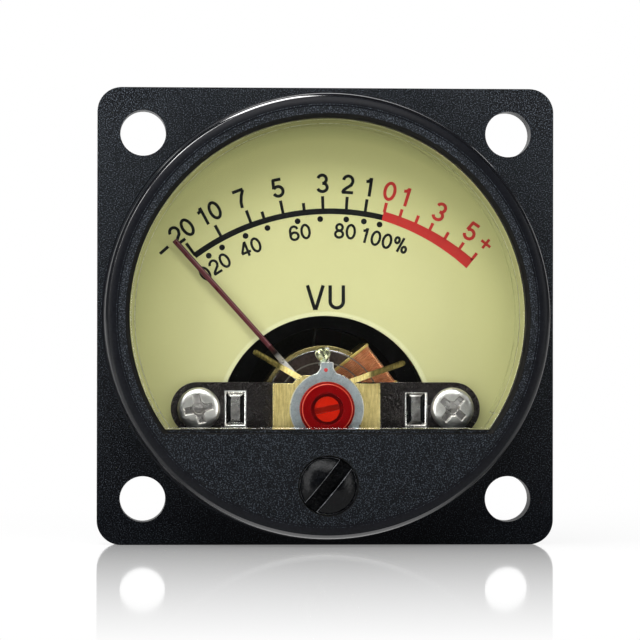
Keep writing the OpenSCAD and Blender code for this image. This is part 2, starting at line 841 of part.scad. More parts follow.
module adjuster_lever() color("#8d97a1") at_pivot() difference() {
    union() {
        bar(ring_radius, lever_back, lever_front);
        layer(lever_back, lever_front) {
            polygon([
                [-lug_width, ring_radius - 0.6], [-lug_width / 2, ring_radius + 0.35],
                [lug_width / 2, ring_radius + 0.35], [lug_width, ring_radius - 0.6]
            ]);
            translate([-lug_width / 2, 0]) square([lug_width, lug_radius]);
            translate([-lever_stem_width / 2, -fork_top]) square([lever_stem_width, fork_top]);
        }
        slab(lug_width, lug_foot_low, lever_front, lug_radius - lever_thickness, lug_radius);
        slab(lug_foot_width, lug_foot_low, lug_foot_low + lug_foot_thickness,
            lug_radius - lever_thickness, spring_radius + 0.3);
        slab(fork_slot + 2 * fork_prong, lever_back, lever_front, -fork_bottom, -fork_top + 0.6);
    }
    bar(bush_radius + running_gap, lever_back - cut, lever_front + cut);
    slab(fork_slot, lever_back - cut, lever_front + cut, -fork_bottom - cut, -fork_top);
}

// The drop of solder that joins the spring's outer end to the lug's foot
module spring_solder() color("#8f9a84") at_pivot() {
    low = lug_foot_low + lug_foot_thickness;
    taper(solder_low_radius, solder_high_radius, low, low + solder_height, 0, spring_radius - 0.15);
}

module zero_screw() color("#14161a") translate([0, 0, zero_z]) {
    dome_radius = (pow(zero_head_radius, 2) + pow(zero_dome, 2)) / (2 * zero_dome);
    difference() {
        intersection() {
            translate([0, dome_radius - zero_head_front - zero_dome, 0]) sphere(dome_radius);
            bar(zero_head_radius, zero_floor + slide_gap, zero_head_front + zero_dome + cut);
        }
        rotate([0, zero_slot_angle, 0]) slab(zero_slot_width, zero_slot_floor,
            zero_head_front + zero_dome + cut, -zero_head_radius - cut, zero_head_radius + cut);
    }
    bar(zero_shaft_radius, zero_shaft_end, zero_floor + slide_gap);
    bar(zero_pin_diameter / 2, zero_pin_end, zero_shaft_end, 0, zero_throw);
}

module zero_screw_washer() color("#b5b5b8") difference() {
    front = zero_boss_back - slide_gap;
    bar(zero_clip_radius, front - zero_clip_thickness, front, 0, zero_z);
    bar(zero_shaft_radius, front - zero_clip_thickness - cut, front + cut, 0, zero_z);
}

// ---- Moving element ----

module along_pointer() aimed(pointer_rest) children();

module along_coil() aimed(pointer_rest + coil_angle) children();

// The frame that the wire is wound on, seen from the side
module coil_frame(width, outside, inside) difference() {
    coil_block(width, outside);
    coil_block(width + cut, inside);
}

module coil_block(width, grow) slab(width, coil_inner_back - grow, coil_inner_front + grow,
    -coil_reach - grow, coil_reach + grow);

module coil_bobbin() color("#c9a94c") along_coil() {
    coil_frame(coil_width, bobbin_wall, 0);
    both_sides() translate([(coil_width - flange_plate) / 2, 0, 0]) coil_frame(flange_plate, coil_wall, 0);
}

module coil_winding() color("#b5623a") along_coil()
    coil_frame(coil_width - 2 * flange_plate, bobbin_wall + winding_thickness, bobbin_wall);

module front_staff() color("#c8cace") on_coil_face() staff(front_staff);

module rear_staff() color("#c8cace") behind_coil() staff(rear_staff);

module front_collet() color("#c9b063") on_coil_face() collet(spring_low - coil_front - 0.15);

module rear_collet() color("#c9b063") behind_coil() collet(rear_spring_low - 0.15);

module balance_cross() color("#b9bcc2") along_pointer() layer(coil_front, pointer_low) difference() {
    union() {
        circle(staff_foot_radius);
        translate([-arm_width / 2, -tail_length]) square([arm_width, tail_length]);
        translate([-side_arm_length, -arm_width / 2]) square([2 * side_arm_length, arm_width]);
    }
    circle(staff_radius);
}

// Turns of wire wound round the ends of the cross's arms, here as their solid
module balance_weights() color("#a9a48c") along_pointer() {
    balance_weight(180, tail_length, tail_weight_length);
    for (turn = [90, 270]) balance_weight(turn, side_arm_length, side_weight_length);
}

module balance_weight(turn, reach, length) rotate([0, turn, 0]) difference() {
    slab(arm_width + 4 * weight_wall, coil_front, pointer_low + weight_wall,
        reach - length - fit_gap, reach - fit_gap);
    slab(arm_width, coil_front - cut, pointer_low, 0, reach + cut);
}

module pointer() color("#6b1f24") along_pointer() difference() {
    union() {
        bar(pointer_hub_radius, pointer_low, pointer_low + pointer_thickness);
        intersection() {
            side_profile(2 * pointer_hub_radius) polygon([
                [0, -pointer_low], [pointer_bend_start, -pointer_low],
                [pointer_bend_end, -pointer_level],
                [pointer_length, -pointer_level], [pointer_length, -pointer_level - pointer_thickness],
                [pointer_bend_end - pointer_bend_shift, -pointer_level - pointer_thickness],
                [pointer_bend_start - pointer_bend_shift, -pointer_low - pointer_thickness],
                [0, -pointer_low - pointer_thickness]
            ]);
            layer(pointer_low - cut, pointer_level + cut) polygon([
                [-pointer_base_width / 2, 0], [-pointer_base_width / 2, pointer_taper_start],
                [-pointer_tip_width / 2, pointer_length], [pointer_tip_width / 2, pointer_length],
                [pointer_base_width / 2, pointer_taper_start], [pointer_base_width / 2, 0]
            ]);
        }
    }
    bar(staff_radius, pointer_low - cut, pointer_level + cut);
}

// ---- Wires ----

// Point on a smooth curve through a list of points
function curve_point(p, i, t) = let (
    a = p[max(i - 1, 0)], b = p[i], c = p[i + 1], d = p[min(i + 2, len(p) - 1)]
) 0.5 * (2 * b + (c - a) * t + (2 * a - 5 * b + 4 * c - d) * t * t + (3 * b - a - 3 * c + d) * t * t * t);

function smooth(p, steps = 4) = concat(
    [for (i = [0 : len(p) - 2], k = [0 : steps - 1]) curve_point(p, i, k / steps)], [p[len(p) - 1]]
);

function unit(v) = v / norm(v);

// A closed tube along a route; the reference direction is never along the route
module wire(route, radius, reference) {
    path = smooth(route);
    count = len(path);
    rings = [for (i = [0 : count - 1]) let (
        ahead = unit(path[min(i + 1, count - 1)] - path[max(i - 1, 0)]),
        side = unit(cross(reference, ahead)), up = cross(ahead, side)
    ) for (k = [0 : wire_sides - 1])
        path[i] + radius * (cos(360 * k / wire_sides) * side + sin(360 * k / wire_sides) * up)];
    polyhedron(rings, concat(
        [[for (k = [0 : wire_sides - 1]) wire_sides - 1 - k]],
        [for (i = [0 : count - 2], k = [0 : wire_sides - 1]) let (next = (k + 1) % wire_sides)
            [i * wire_sides + k, i * wire_sides + next, (i + 1) * wire_sides + next,
                (i + 1) * wire_sides + k]],
        [[for (k = [0 : wire_sides - 1]) (count - 1) * wire_sides + k]]
    ));
}

// A place at an offset from the pivot, at a height
function by_pivot(x, z, height) = [x, -height, pivot_z + z];

// Fine leads from the winding to the inner ends of the hairsprings
module coil_leads() color("#b5623a") {
    along_coil() coil_lead(-coil_front, -1, -spring_low + 0.1);
    along_coil() coil_lead(-coil_back, 1, -coil_back + rear_spring_low - 0.15);
}

module coil_lead(start, way, end) {
    middle = (fine_wire_ends[0] + fine_wire_ends[1]) / 2;
    wire([
        [fine_wire_x, start + way * fine_wire_rise[0], fine_wire_ends[0]],
        [fine_wire_x, start + way * fine_wire_rise[1], middle],
        [fine_wire_x, end, fine_wire_ends[1]]
    ], fine_wire_radius, [1, 0, 0]);
}

module terminal_places() {
    both_sides() translate([signal_x, 0, signal_z]) children();
    both_sides() translate([lamp_terminal_x, 0, lamp_terminal_z]) children();
}

module terminal() {
    bar(terminal_radius, -can_depth - terminal_length, terminal_top);
    bar(terminal_collar, -can_depth - terminal_collar_height, -can_depth);
}

module signal_terminals() color("#cdb56a") both_sides() translate([signal_x, 0, signal_z]) terminal();

module lamp_terminals() color("#cdb56a") both_sides()
    translate([lamp_terminal_x, 0, lamp_terminal_z]) terminal();

// One lead from the rear spring arm and one from the yoke, each to its own terminal
module signal_leads() color("#8e1b1b") {
    arm_height = coil_back - rear_nut_low - wire_radius;
    wire([
        by_pivot(rear_arm_reach - 0.6, 0, arm_height), by_pivot(rear_arm_reach + 0.8, 0.6, arm_height - 0.3),
        by_pivot(rear_arm_reach + 3, 3, arm_height - 0.2), by_pivot(signal_x - 1.6, 6, wire_top + 0.3),
        [signal_x, -wire_top, signal_z]
    ], wire_radius, [0, 1, 0]);
    wire([
        by_pivot(-yoke_radius - wire_radius, 1, yoke_front - 2),
        by_pivot(-yoke_radius - 1.1, 2.6, yoke_front - 3.4),
        by_pivot(-yoke_radius - 2, 4.6, yoke_front - 7), by_pivot(-yoke_radius - 2.8, 6.6, wire_top + 3),
        [-signal_x - 0.2, -wire_top - 0.5, signal_z]
    ], wire_radius, [1, 0, 0]);
}

// ---- Lighting ----

module lamp_board() color("#2f6b45") layer(board_front - board_thickness, board_front)
    translate([0, board_z]) difference() {
        square([board_width, board_height], center = true);
        both_sides() translate([board_post_x, 0]) circle(board_pin_radius);
    }

module lamps() color("#f3e9b0") for (i = [0 : lamp_count - 1])
    translate([(i - (lamp_count - 1) / 2) * lamp_pitch, 0, board_z + lamp_shift]) {
        slab(lamp_size, board_front, board_front + lamp_base, -lamp_size / 2, lamp_size / 2);
        taper(lamp_lens_radius, lamp_lens_top_radius, board_front + lamp_base,
            board_front + lamp_base + lamp_lens_height);
    }

module lamp_resistor() color("#1e1e20") slab(resistor_size[0], board_front,
    board_front + resistor_size[2], resistor_z, resistor_z + resistor_size[1]);

module lamp_leads() color("#2a2a2c") both_sides() {
    back = board_front - board_thickness;
    wire([
        [2, wire_radius - back, board_z], [2.2, 1.6 - back, board_z + 0.4], [3, 4 - back, board_z + 2],
        [lamp_terminal_x, -wire_top - 1.6, lamp_terminal_z - 0.2],
        [lamp_terminal_x, -wire_top + 0.1, lamp_terminal_z]
    ], wire_radius, [1, 0, 0]);
}

front_case();
window_lens();
rear_case();
case_screws();
dial_plate();
mounting_strip();
ear_screws();
yoke_ring();
core_magnet();
core_sleeve();
core_strap();
rear_bridge();
frame_screws();
front_bridge();
lock_nut();
front_jewel_screw();
front_jewel();
rear_jewel_screw();
rear_jewel();
rear_lock_nut();
insulating_washer();
rear_spring_arm();
rear_hairspring();
adjuster_lever();
spring_solder();
front_hairspring();
zero_screw();
zero_screw_washer();
coil_bobbin();
coil_winding();
front_staff();
rear_staff();
front_collet();
rear_collet();
balance_cross();
balance_weights();
pointer();
coil_leads();
signal_terminals();
signal_leads();
lamp_board();
lamps();
lamp_resistor();
lamp_terminals();
lamp_leads();
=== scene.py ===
import json
import math

import bmesh
import bpy
from mathutils import Matrix, Quaternion, Vector
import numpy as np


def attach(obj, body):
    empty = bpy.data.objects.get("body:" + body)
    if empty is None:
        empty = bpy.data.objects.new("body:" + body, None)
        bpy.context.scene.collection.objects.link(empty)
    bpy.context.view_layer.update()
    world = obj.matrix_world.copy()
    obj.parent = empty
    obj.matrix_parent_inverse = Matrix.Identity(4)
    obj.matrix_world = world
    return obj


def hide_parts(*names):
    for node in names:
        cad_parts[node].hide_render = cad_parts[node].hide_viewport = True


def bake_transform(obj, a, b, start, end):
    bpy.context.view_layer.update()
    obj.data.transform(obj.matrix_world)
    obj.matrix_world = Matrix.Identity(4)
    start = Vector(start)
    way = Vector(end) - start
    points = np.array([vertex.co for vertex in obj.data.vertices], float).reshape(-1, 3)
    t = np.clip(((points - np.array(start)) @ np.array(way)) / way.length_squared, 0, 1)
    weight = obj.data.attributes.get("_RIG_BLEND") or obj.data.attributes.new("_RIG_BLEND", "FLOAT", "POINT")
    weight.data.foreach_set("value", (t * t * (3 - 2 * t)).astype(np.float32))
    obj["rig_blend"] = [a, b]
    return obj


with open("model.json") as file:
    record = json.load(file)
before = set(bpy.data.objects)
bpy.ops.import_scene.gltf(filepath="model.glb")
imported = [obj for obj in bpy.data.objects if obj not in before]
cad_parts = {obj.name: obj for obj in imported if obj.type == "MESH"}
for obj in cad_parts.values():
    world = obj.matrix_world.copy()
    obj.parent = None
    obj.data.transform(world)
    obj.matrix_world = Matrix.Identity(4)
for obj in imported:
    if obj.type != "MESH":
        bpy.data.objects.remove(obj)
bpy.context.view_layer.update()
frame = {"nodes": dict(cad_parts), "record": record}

# ---- Rear case ----
# A round can moulded in black ABS with a flat back. It holds the movement's posts, the lamp
# board's pins and two screw columns, and slides into the front case from behind. Its skin is
# the fine grain of a spark-eroded mould, with painted glints on the grain as paler specks.
mm = 0.001
pivot = Vector((0, 0, -9.1 * mm))
node_body = {
    node: body for body, nodes in frame["record"]["behaviour"]["bodies"].items() for node in nodes
}


def only(piece):
    """Leaves one piece selected and active."""
    bpy.ops.object.select_all(action="DESELECT")
    piece.select_set(True)
    bpy.context.view_layer.objects.active = piece
    return piece


def edit(piece, select="SELECT"):
    """Opens one piece in edit mode with all or nothing of it selected."""
    only(piece)
    bpy.ops.object.mode_set(mode="EDIT")
    bpy.ops.mesh.select_all(action=select)


def done():
    """Leaves edit mode."""
    bpy.ops.object.mode_set(mode="OBJECT")


def apply_modifier(piece, kind, **settings):
    """Adds a modifier with its settings and applies it."""
    only(piece)
    modifier = piece.modifiers.new(kind.lower(), kind)
    for setting, value in settings.items():
        setattr(modifier, setting, value)
    bpy.ops.object.modifier_apply(modifier=modifier.name)


def broken_edges(piece, width, segments=2, angle=35):
    """Breaks every sharp edge with a small round, as tooling and tumbling do."""
    apply_modifier(
        piece, "BEVEL", width=width, segments=segments, limit_method="ANGLE",
        angle_limit=math.radians(angle), harden_normals=False, use_clamp_overlap=True,
    )
    only(piece)
    bpy.ops.object.shade_smooth_by_angle(angle=math.radians(angle))
    apply_modifier(piece, "WEIGHTED_NORMAL", keep_sharp=True, weight=80)


def copy_of(node):
    """A merged copy of a construction solid, to be finished as the visible piece."""
    source = frame["nodes"][node]
    piece = source.copy()
    piece.data = source.data.copy()
    piece.name = piece.data.name = node + "_piece"
    piece.parent = None
    piece.matrix_world = Matrix.Identity(4)
    bpy.context.scene.collection.objects.link(piece)
    edit(piece)
    bpy.ops.mesh.customdata_custom_splitnormals_clear()
    bpy.ops.mesh.remove_doubles(threshold=0.0005 * mm)
    bpy.ops.mesh.dissolve_limited(angle_limit=math.radians(0.6))
    done()
    return piece


def stands_for(piece, node):
    """Puts the piece in place of its solid and on its body."""
    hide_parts(node)
    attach(piece, node_body[node])


def dress(piece, *materials):
    """Gives the piece its finishes, the first one all over."""
    piece.data.materials.clear()
    for material in materials:
        piece.data.materials.append(material)


class Finish:
    """A material under construction: its shader, and short ways to add and join nodes."""

    def __init__(self, name, color, metallic=0.0, roughness=0.5):
        self.material = bpy.data.materials.new(name)
        self.material.use_nodes = True
        self.tree = self.material.node_tree
        self.shader = self.tree.nodes["Principled BSDF"]
        self.shader.inputs["Base Color"].default_value = (*color, 1)
        self.shader.inputs["Metallic"].default_value = metallic
        self.shader.inputs["Roughness"].default_value = roughness
        self.place = self.add("ShaderNodeTexCoord").outputs["Object"]

    def add(self, kind, _group=None, **inputs):
        """A new node with values or links for its inputs."""
        node = self.tree.nodes.new(kind)
        if _group:
            node.node_tree = _group
        for name, value in inputs.items():
            self.put(value, node.inputs[name.replace("_", " ")])
        return node

    def put(self, value, socket):
        """Links an output, or writes a plain value, into an input."""
        if isinstance(value, bpy.types.NodeSocket):
            self.tree.links.new(value, socket)
        else:
            socket.default_value = value

    def shade(self, **inputs):
        """Values or links for the shader's inputs; gives the material."""
        for name, value in inputs.items():
            self.put(value, self.shader.inputs[name.replace("_", " ")])
        return self.material

    def ramp(self, value, *stops):
        """Colours or greys against a mask, as (position, colour) pairs."""
        node = self.add("ShaderNodeValToRGB", Fac=value)
        marks = node.color_ramp.elements
        while len(marks) < len(stops):
            marks.new(0.5)
        for mark, (position, color) in zip(marks, stops):
            mark.position = position
            mark.color = (*color, 1) if isinstance(color, tuple) else (color, color, color, 1)
        return node.outputs["Color"]

    def turned(self, turn=(0, 0, 0), scale=(1, 1, 1), shift=(0, 0, 0)):
        """The piece's own coordinates, shifted, turned and stretched."""
        node = self.add("ShaderNodeMapping", Vector=self.place)
        node.inputs["Location"].default_value = shift
        node.inputs["Rotation"].default_value = [math.radians(a) for a in turn]
        node.inputs["Scale"].default_value = scale
        return node.outputs["Vector"]

    def bump(self, height, strength, distance):
        """Relief from a mask, as a normal."""
        return self.add(
            "ShaderNodeBump", Height=height, Strength=strength, Distance=distance).outputs["Normal"]

    def specks(self, grain, cloud, share):
        """The shared speckle with this finish's own fine and coarse scales."""
        return self.add(
            "ShaderNodeGroup", speckle, Vector=self.place, Grain=grain, Cloud=cloud, Share=share).outputs

    def noise(self, scale, detail):
        """Plain noise on the piece's own coordinates."""
        return self.add("ShaderNodeTexNoise", Vector=self.place, Scale=scale, Detail=detail).outputs["Fac"]

    def axis(self, name):
        """The piece's own X, Y or Z in metres."""
        return self.add("ShaderNodeSeparateXYZ", Vector=self.place).outputs[name]

    def spread(self, value, start, end):
        """A value as a share of the way from start to end, from 0 to 1."""
        return self.add("ShaderNodeMapRange", Value=value, From_Min=start, From_Max=end).outputs["Result"]

    def nearness(self, reach, height):
        """1 on a line along Y at a height, falling evenly to 0 at a reach from it, in millimetres."""
        node = self.add("ShaderNodeTexGradient", Vector=self.turned(
            scale=(1 / (reach * mm), 0, 1 / (reach * mm)), shift=(0, 0, -height / reach)))
        node.gradient_type = "SPHERICAL"
        return node.outputs["Fac"]

    def mixed(self, share, one, two, way="MIX"):
        """One colour turned into another, or laid over it, by a share."""
        node = self.add("ShaderNodeMix")
        node.data_type, node.blend_type = "RGBA", way
        for value, socket in ((share, "Factor"), (one, "A"), (two, "B")):
            self.put(value, node.inputs[socket])
        return node.outputs["Result"]

    def reckon(self, operation, *values):
        """The result of one sum."""
        node = self.add("ShaderNodeMath")
        node.operation = operation
        for value, socket in zip(values, node.inputs):
            self.put(value, socket)
        return node.outputs["Value"]


def noise_group():
    """Speckle shared by the moulded and plated skins: coarse and fine noise in one mask."""
    group = bpy.data.node_groups.new("speckle", "ShaderNodeTree")
    faces = group.interface
    faces.new_socket("Vector", in_out="INPUT", socket_type="NodeSocketVector")
    for name, value in (("Grain", 9000.0), ("Cloud", 400.0), ("Share", 0.5)):
        faces.new_socket(name, in_out="INPUT", socket_type="NodeSocketFloat").default_value = value
    faces.new_socket("Fine", in_out="OUTPUT", socket_type="NodeSocketFloat")
    faces.new_socket("Mask", in_out="OUTPUT", socket_type="NodeSocketFloat")
    nodes, links = group.nodes, group.links
    source, target = nodes.new("NodeGroupInput"), nodes.new("NodeGroupOutput")
    fine, coarse = nodes.new("ShaderNodeTexNoise"), nodes.new("ShaderNodeTexNoise")
    fine.inputs["Detail"].default_value = 3
    coarse.inputs["Detail"].default_value = 4
    mix = nodes.new("ShaderNodeMix")
    for noise, scale in ((fine, "Grain"), (coarse, "Cloud")):
        links.new(source.outputs["Vector"], noise.inputs["Vector"])
        links.new(source.outputs[scale], noise.inputs["Scale"])
    links.new(source.outputs["Share"], mix.inputs["Factor"])
    links.new(fine.outputs["Fac"], mix.inputs["A"])
    links.new(coarse.outputs["Fac"], mix.inputs["B"])
    links.new(fine.outputs["Fac"], target.inputs["Fine"])
    links.new(mix.outputs["Result"], target.inputs["Mask"])
    return group


speckle = noise_group()


def moulded_black(name, grain, depth, dark, pale, roughness, shine=0.4):
    """Black ABS: near-black with paler specks painted in as glints where the grain catches the light."""
    finish = Finish(name, dark)
    spots = finish.specks(grain, cloud=350.0, share=0.3)
    return finish.shade(
        Base_Color=finish.ramp(spots["Mask"], (0.35, dark), (0.75, pale)),
        Roughness=finish.ramp(spots["Mask"], (0.3, roughness - 0.07), (0.7, roughness + 0.08)),
        Specular_IOR_Level=shine,
        Normal=finish.bump(spots["Fine"], 0.5, depth),
    )


case_black = moulded_black(
    "case_black", grain=3800.0, depth=0.05 * mm, dark=(0.004, 0.005, 0.007),
    pale=(0.034, 0.037, 0.043), roughness=0.45,
)
rear_case = copy_of("rear_case")
broken_edges(rear_case, 0.2 * mm)
dress(rear_case, case_black)
stands_for(rear_case, "rear_case")

# ---- Terminals ----
# Four round pins of tinned brass pressed through the can's floor, each with a collar outside
# and a stub inside for its lead. Their solder-wetted skin is bright and slightly pitted.


def sharp(edge, angle):
    """Whether two faces meet at the edge at more than an angle."""
    return len(edge.link_faces) == 2 and edge.calc_face_angle(0) > math.radians(angle)


def round_edges(piece, width, where=None, segments=2, angle=30, slot=-1):
    """Rounds the sharp edges whose middle passes the test; the rounds may get a second skin."""
    edit(piece, "DESELECT")
    bpy.ops.mesh.select_mode(type="EDGE")
    mesh = bmesh.from_edit_mesh(piece.data)
    for edge in mesh.edges:
        middle = (edge.verts[0].co + edge.verts[1].co) / 2
        edge.select_set(sharp(edge, angle) and (where is None or where(middle / mm)))
    bmesh.update_edit_mesh(piece.data)
    bpy.ops.mesh.bevel(
        offset=width, offset_type="OFFSET", segments=segments, affect="EDGES",
        clamp_overlap=True, material=slot,
    )
    done()


def smooth(piece, angle=35):
    """Smooth skin with crisp edges, the flat faces kept flat."""
    only(piece)
    bpy.ops.object.shade_smooth_by_angle(angle=math.radians(angle))
    apply_modifier(piece, "WEIGHTED_NORMAL", keep_sharp=True, weight=80)


def metal(name, color, roughness, pits=0.004, grain=5000.0, worn=None):
    """A plated or bare metal skin: cloudy tint, fine pits and small changes of gloss."""
    finish = Finish(name, color, metallic=1.0)
    spots = finish.specks(grain, cloud=700.0, share=0.6)
    dull = worn or tuple(c * 0.78 for c in color)
    return finish.shade(
        Base_Color=finish.ramp(spots["Mask"], (0.35, dull), (0.6, color)),
        Roughness=finish.ramp(spots["Mask"], (0.3, roughness + 0.1), (0.65, roughness)),
        Normal=finish.bump(spots["Fine"], 0.3, pits * mm),
    )


tinned = metal("tinned_brass", (0.72, 0.68, 0.55), 0.25)
for node in ("signal_terminals", "lamp_terminals"):
    pins = copy_of(node)
    broken_edges(pins, 0.12 * mm)
    dress(pins, tinned)
    stands_for(pins, node)

# ---- Lamp board, lamps and leads ----
# A strip of green circuit board on two pins of the can, with three warm lamps behind the dial,
# their resistor, and short insulated leads to the terminals. The lamps give no light; their glow
# on the dial is painted light in the dial's own skin.


def coloured_skin(name, color, pale, roughness, grain=3000.0, depth=0.01, shine=0.5):
    """A plain coloured skin such as resin, board or insulation, faintly mottled."""
    finish = Finish(name, color)
    spots = finish.specks(grain, cloud=500.0, share=0.5)
    return finish.shade(
        Base_Color=finish.ramp(spots["Mask"], (0.3, color), (0.7, pale)),
        Roughness=finish.ramp(spots["Mask"], (0.3, roughness), (0.7, roughness + 0.1)),
        Specular_IOR_Level=shine,
        Normal=finish.bump(spots["Fine"], 0.3, depth * mm),
    )


for node, material, edge in (
    ("lamp_board", coloured_skin("green_board", (0.02, 0.11, 0.05), (0.03, 0.15, 0.07), 0.35), 0.06),
    ("lamps", coloured_skin("warm_resin", (0.85, 0.7, 0.32), (0.95, 0.85, 0.5), 0.15), 0.12),
    ("lamp_resistor", coloured_skin("resistor_black", (0.015, 0.015, 0.016), (0.03, 0.03, 0.03), 0.4),
     0.08),
    ("lamp_leads", coloured_skin("black_insulation", (0.012, 0.012, 0.013), (0.022, 0.022, 0.024), 0.45),
     0),
    ("signal_leads", coloured_skin("red_insulation", (0.3, 0.012, 0.01), (0.38, 0.02, 0.016), 0.45), 0),
):
    piece = copy_of(node)
    if edge:
        broken_edges(piece, edge * mm)
    else:
        smooth(piece, angle=60)
    dress(piece, material)
    stands_for(piece, node)

# ---- Magnet frame ----
# A black steel ring staked to the mounting strip by two tenons, and inside it the round core
# magnet in its thin brass sleeve on a strap. Two screws through the back hold the strap and
# the rear bridge.
black_steel = metal("black_steel", (0.012, 0.012, 0.013), 0.35, worn=(0.007, 0.007, 0.008))
ground_magnet = metal(
    "ground_magnet", (0.16, 0.12, 0.11), 0.3, pits=0.006, grain=2600.0, worn=(0.06, 0.045, 0.04))
sleeve_brass = metal("sleeve_brass", (0.85, 0.7, 0.32), 0.25, worn=(0.6, 0.47, 0.18))
strap_red = coloured_skin("strap_lacquer", (0.016, 0.003, 0.004), (0.024, 0.005, 0.006), 0.5)
rolled_sheet = metal("rolled_sheet", (0.62, 0.62, 0.64), 0.3)
bright_screw = metal("bright_screw", (0.68, 0.68, 0.7), 0.14)
turned_brass = metal("turned_brass", (0.7, 0.55, 0.22), 0.22)
for node, material, edge in (
    ("core_sleeve", sleeve_brass, 0.05),
    ("core_strap", strap_red, 0.06),
    ("rear_bridge", rolled_sheet, 0.08),
    ("frame_screws", bright_screw, 0.08),
    ("case_screws", bright_screw, 0.1),
    ("rear_jewel_screw", turned_brass, 0.08),
    ("rear_lock_nut", turned_brass, 0.08),
    ("rear_spring_arm", turned_brass, 0.05),
):
    piece = copy_of(node)
    broken_edges(piece, edge * mm)
    dress(piece, material)
    stands_for(piece, node)
core = copy_of("core_magnet")
dress(core, ground_magnet, bright_screw)
# Painted highlight: the core's rounded edges get the bright screw metal.
round_edges(core, 0.1 * mm, slot=1)
smooth(core)
stands_for(core, "core_magnet")
yoke = copy_of("yoke_ring")
staked_end = metal(
    "staked_end", (0.9, 0.88, 0.85), 0.24, pits=0.03, grain=1800.0, worn=(0.25, 0.23, 0.22))
dress(yoke, black_steel, staked_end)
round_edges(yoke, 0.12 * mm, lambda p: p.y > -1)
round_edges(yoke, 0.3 * mm, lambda p: p.y < -2.7, segments=4)
tenon_middle, tenon_half, tenon_start = 8.9, 0.46, -1.62
for face in yoke.data.polygons:
    middle = face.center / mm
    if middle.y < tenon_start and abs(abs(middle.x) - tenon_middle) < tenon_half:
        face.material_index = 1
smooth(yoke)
stands_for(yoke, "yoke_ring")

# ---- Moving coil ----
# A thin brass bobbin wound with fine enamelled copper wire, riding between two pivots. The
# wire lies in close turns that show as fine lines and bulge round the bobbin's ends. Staffs,
# collets, leads, the aluminium balance cross and its solder weights ride with it.
bobbin_brass = metal("bobbin_brass", (1.0, 0.8, 0.28), 0.34, pits=0.001, worn=(0.85, 0.65, 0.2))
dull_solder = metal("dull_solder", (0.44, 0.46, 0.4), 0.32, pits=0.008, grain=2500.0)
for node, material, edge in (
    ("coil_bobbin", bobbin_brass, 0.04),
    ("front_staff", bright_screw, 0.03),
    ("rear_staff", bright_screw, 0.03),
    ("front_collet", turned_brass, 0.04),
    ("rear_collet", turned_brass, 0.04),
    ("balance_cross", rolled_sheet, 0.03),
    ("balance_weights", dull_solder, 0.06),
):
    piece = copy_of(node)
    broken_edges(piece, edge * mm)
    dress(piece, material)
    stands_for(piece, node)

enamel = Finish("copper_enamel", (0.8, 0.38, 0.18), metallic=1.0)
streaks = enamel.noise(scale=1200.0, detail=2.0)
enamel.shade(
    Base_Color=enamel.ramp(streaks, (0.35, (0.8, 0.36, 0.18)), (0.65, (1.0, 0.56, 0.32))),
    Roughness=enamel.ramp(streaks, (0.3, 0.4), (0.7, 0.28)),
    Coat_Weight=0.3,
)
rest_swing = math.radians(-42)
coil_turn = rest_swing + math.radians(94)
turns = 20
wire_radius = 0.105 * mm
core_half = 4.4 / 2 * mm
loop_front, loop_back, loop_half = 0.14 * mm, 11.95 * mm, 7.19 * mm


def rounded_loop():
    """One turn of wire as a closed round-cornered tube, standing in the Y-Z plane."""
    points = []
    corner = 0.35 * mm
    for cy, cz, start in (
        (loop_front + corner, loop_half - corner, 0), (loop_front + corner, -loop_half + corner, 90),
        (loop_back - corner, -loop_half + corner, 180), (loop_back - corner, loop_half - corner, 270),
    ):
        for step in range(4):
            a = math.radians(start + 30 * step)
            points.append(Vector((0, cy - corner * math.sin(a), cz + corner * math.cos(a))))
    return points


def drawn(name, points, closed, **shape):
    """A curve through points, given its section by the curve's own settings and made a mesh."""
    curve = bpy.data.curves.new(name, "CURVE")
    for setting, value in shape.items():
        setattr(curve, setting, value)
    spline = curve.splines.new("POLY")
    spline.points.add(len(points) - 1)
    for point, place in zip(spline.points, points):
        point.co = (*place, 1)
    spline.use_cyclic_u = closed
    piece = bpy.data.objects.new(name, curve)
    bpy.context.scene.collection.objects.link(piece)
    only(piece)
    bpy.ops.object.convert(target="MESH")
    bpy.context.object.data.name = name
    return bpy.context.object


winding = copy_of("coil_winding")
wires = [drawn(
    "wire_turn", rounded_loop(), closed=True, dimensions="3D", bevel_depth=wire_radius, bevel_resolution=1)]
for turn in range(1, turns):
    wire = wires[0].copy()
    wire.data = wires[0].data.copy()
    bpy.context.scene.collection.objects.link(wire)
    wires.append(wire)
for turn, wire in enumerate(wires):
    shift = -core_half + wire_radius + turn * (2 * core_half - 2 * wire_radius) / (turns - 1)
    wire.data.transform(
        Matrix.Translation(pivot) @ Matrix.Rotation(coil_turn, 4, "Y") @ Matrix.Translation((shift, 0, 0)))


def join(pieces, name):
    """Joins pieces into the first and names it."""
    bpy.ops.object.select_all(action="DESELECT")
    for piece in pieces:
        piece.select_set(True)
    bpy.context.view_layer.objects.active = pieces[0]
    bpy.ops.object.join()
    joined = bpy.context.object
    joined.name = joined.data.name = name
    return joined


winding = join([winding] + wires, "coil_winding_piece")
smooth(winding, angle=50)
dress(winding, enamel.material)
stands_for(winding, "coil_winding")
leads = copy_of("coil_leads")
smooth(leads, angle=60)
dress(leads, enamel.material)
stands_for(leads, "coil_leads")
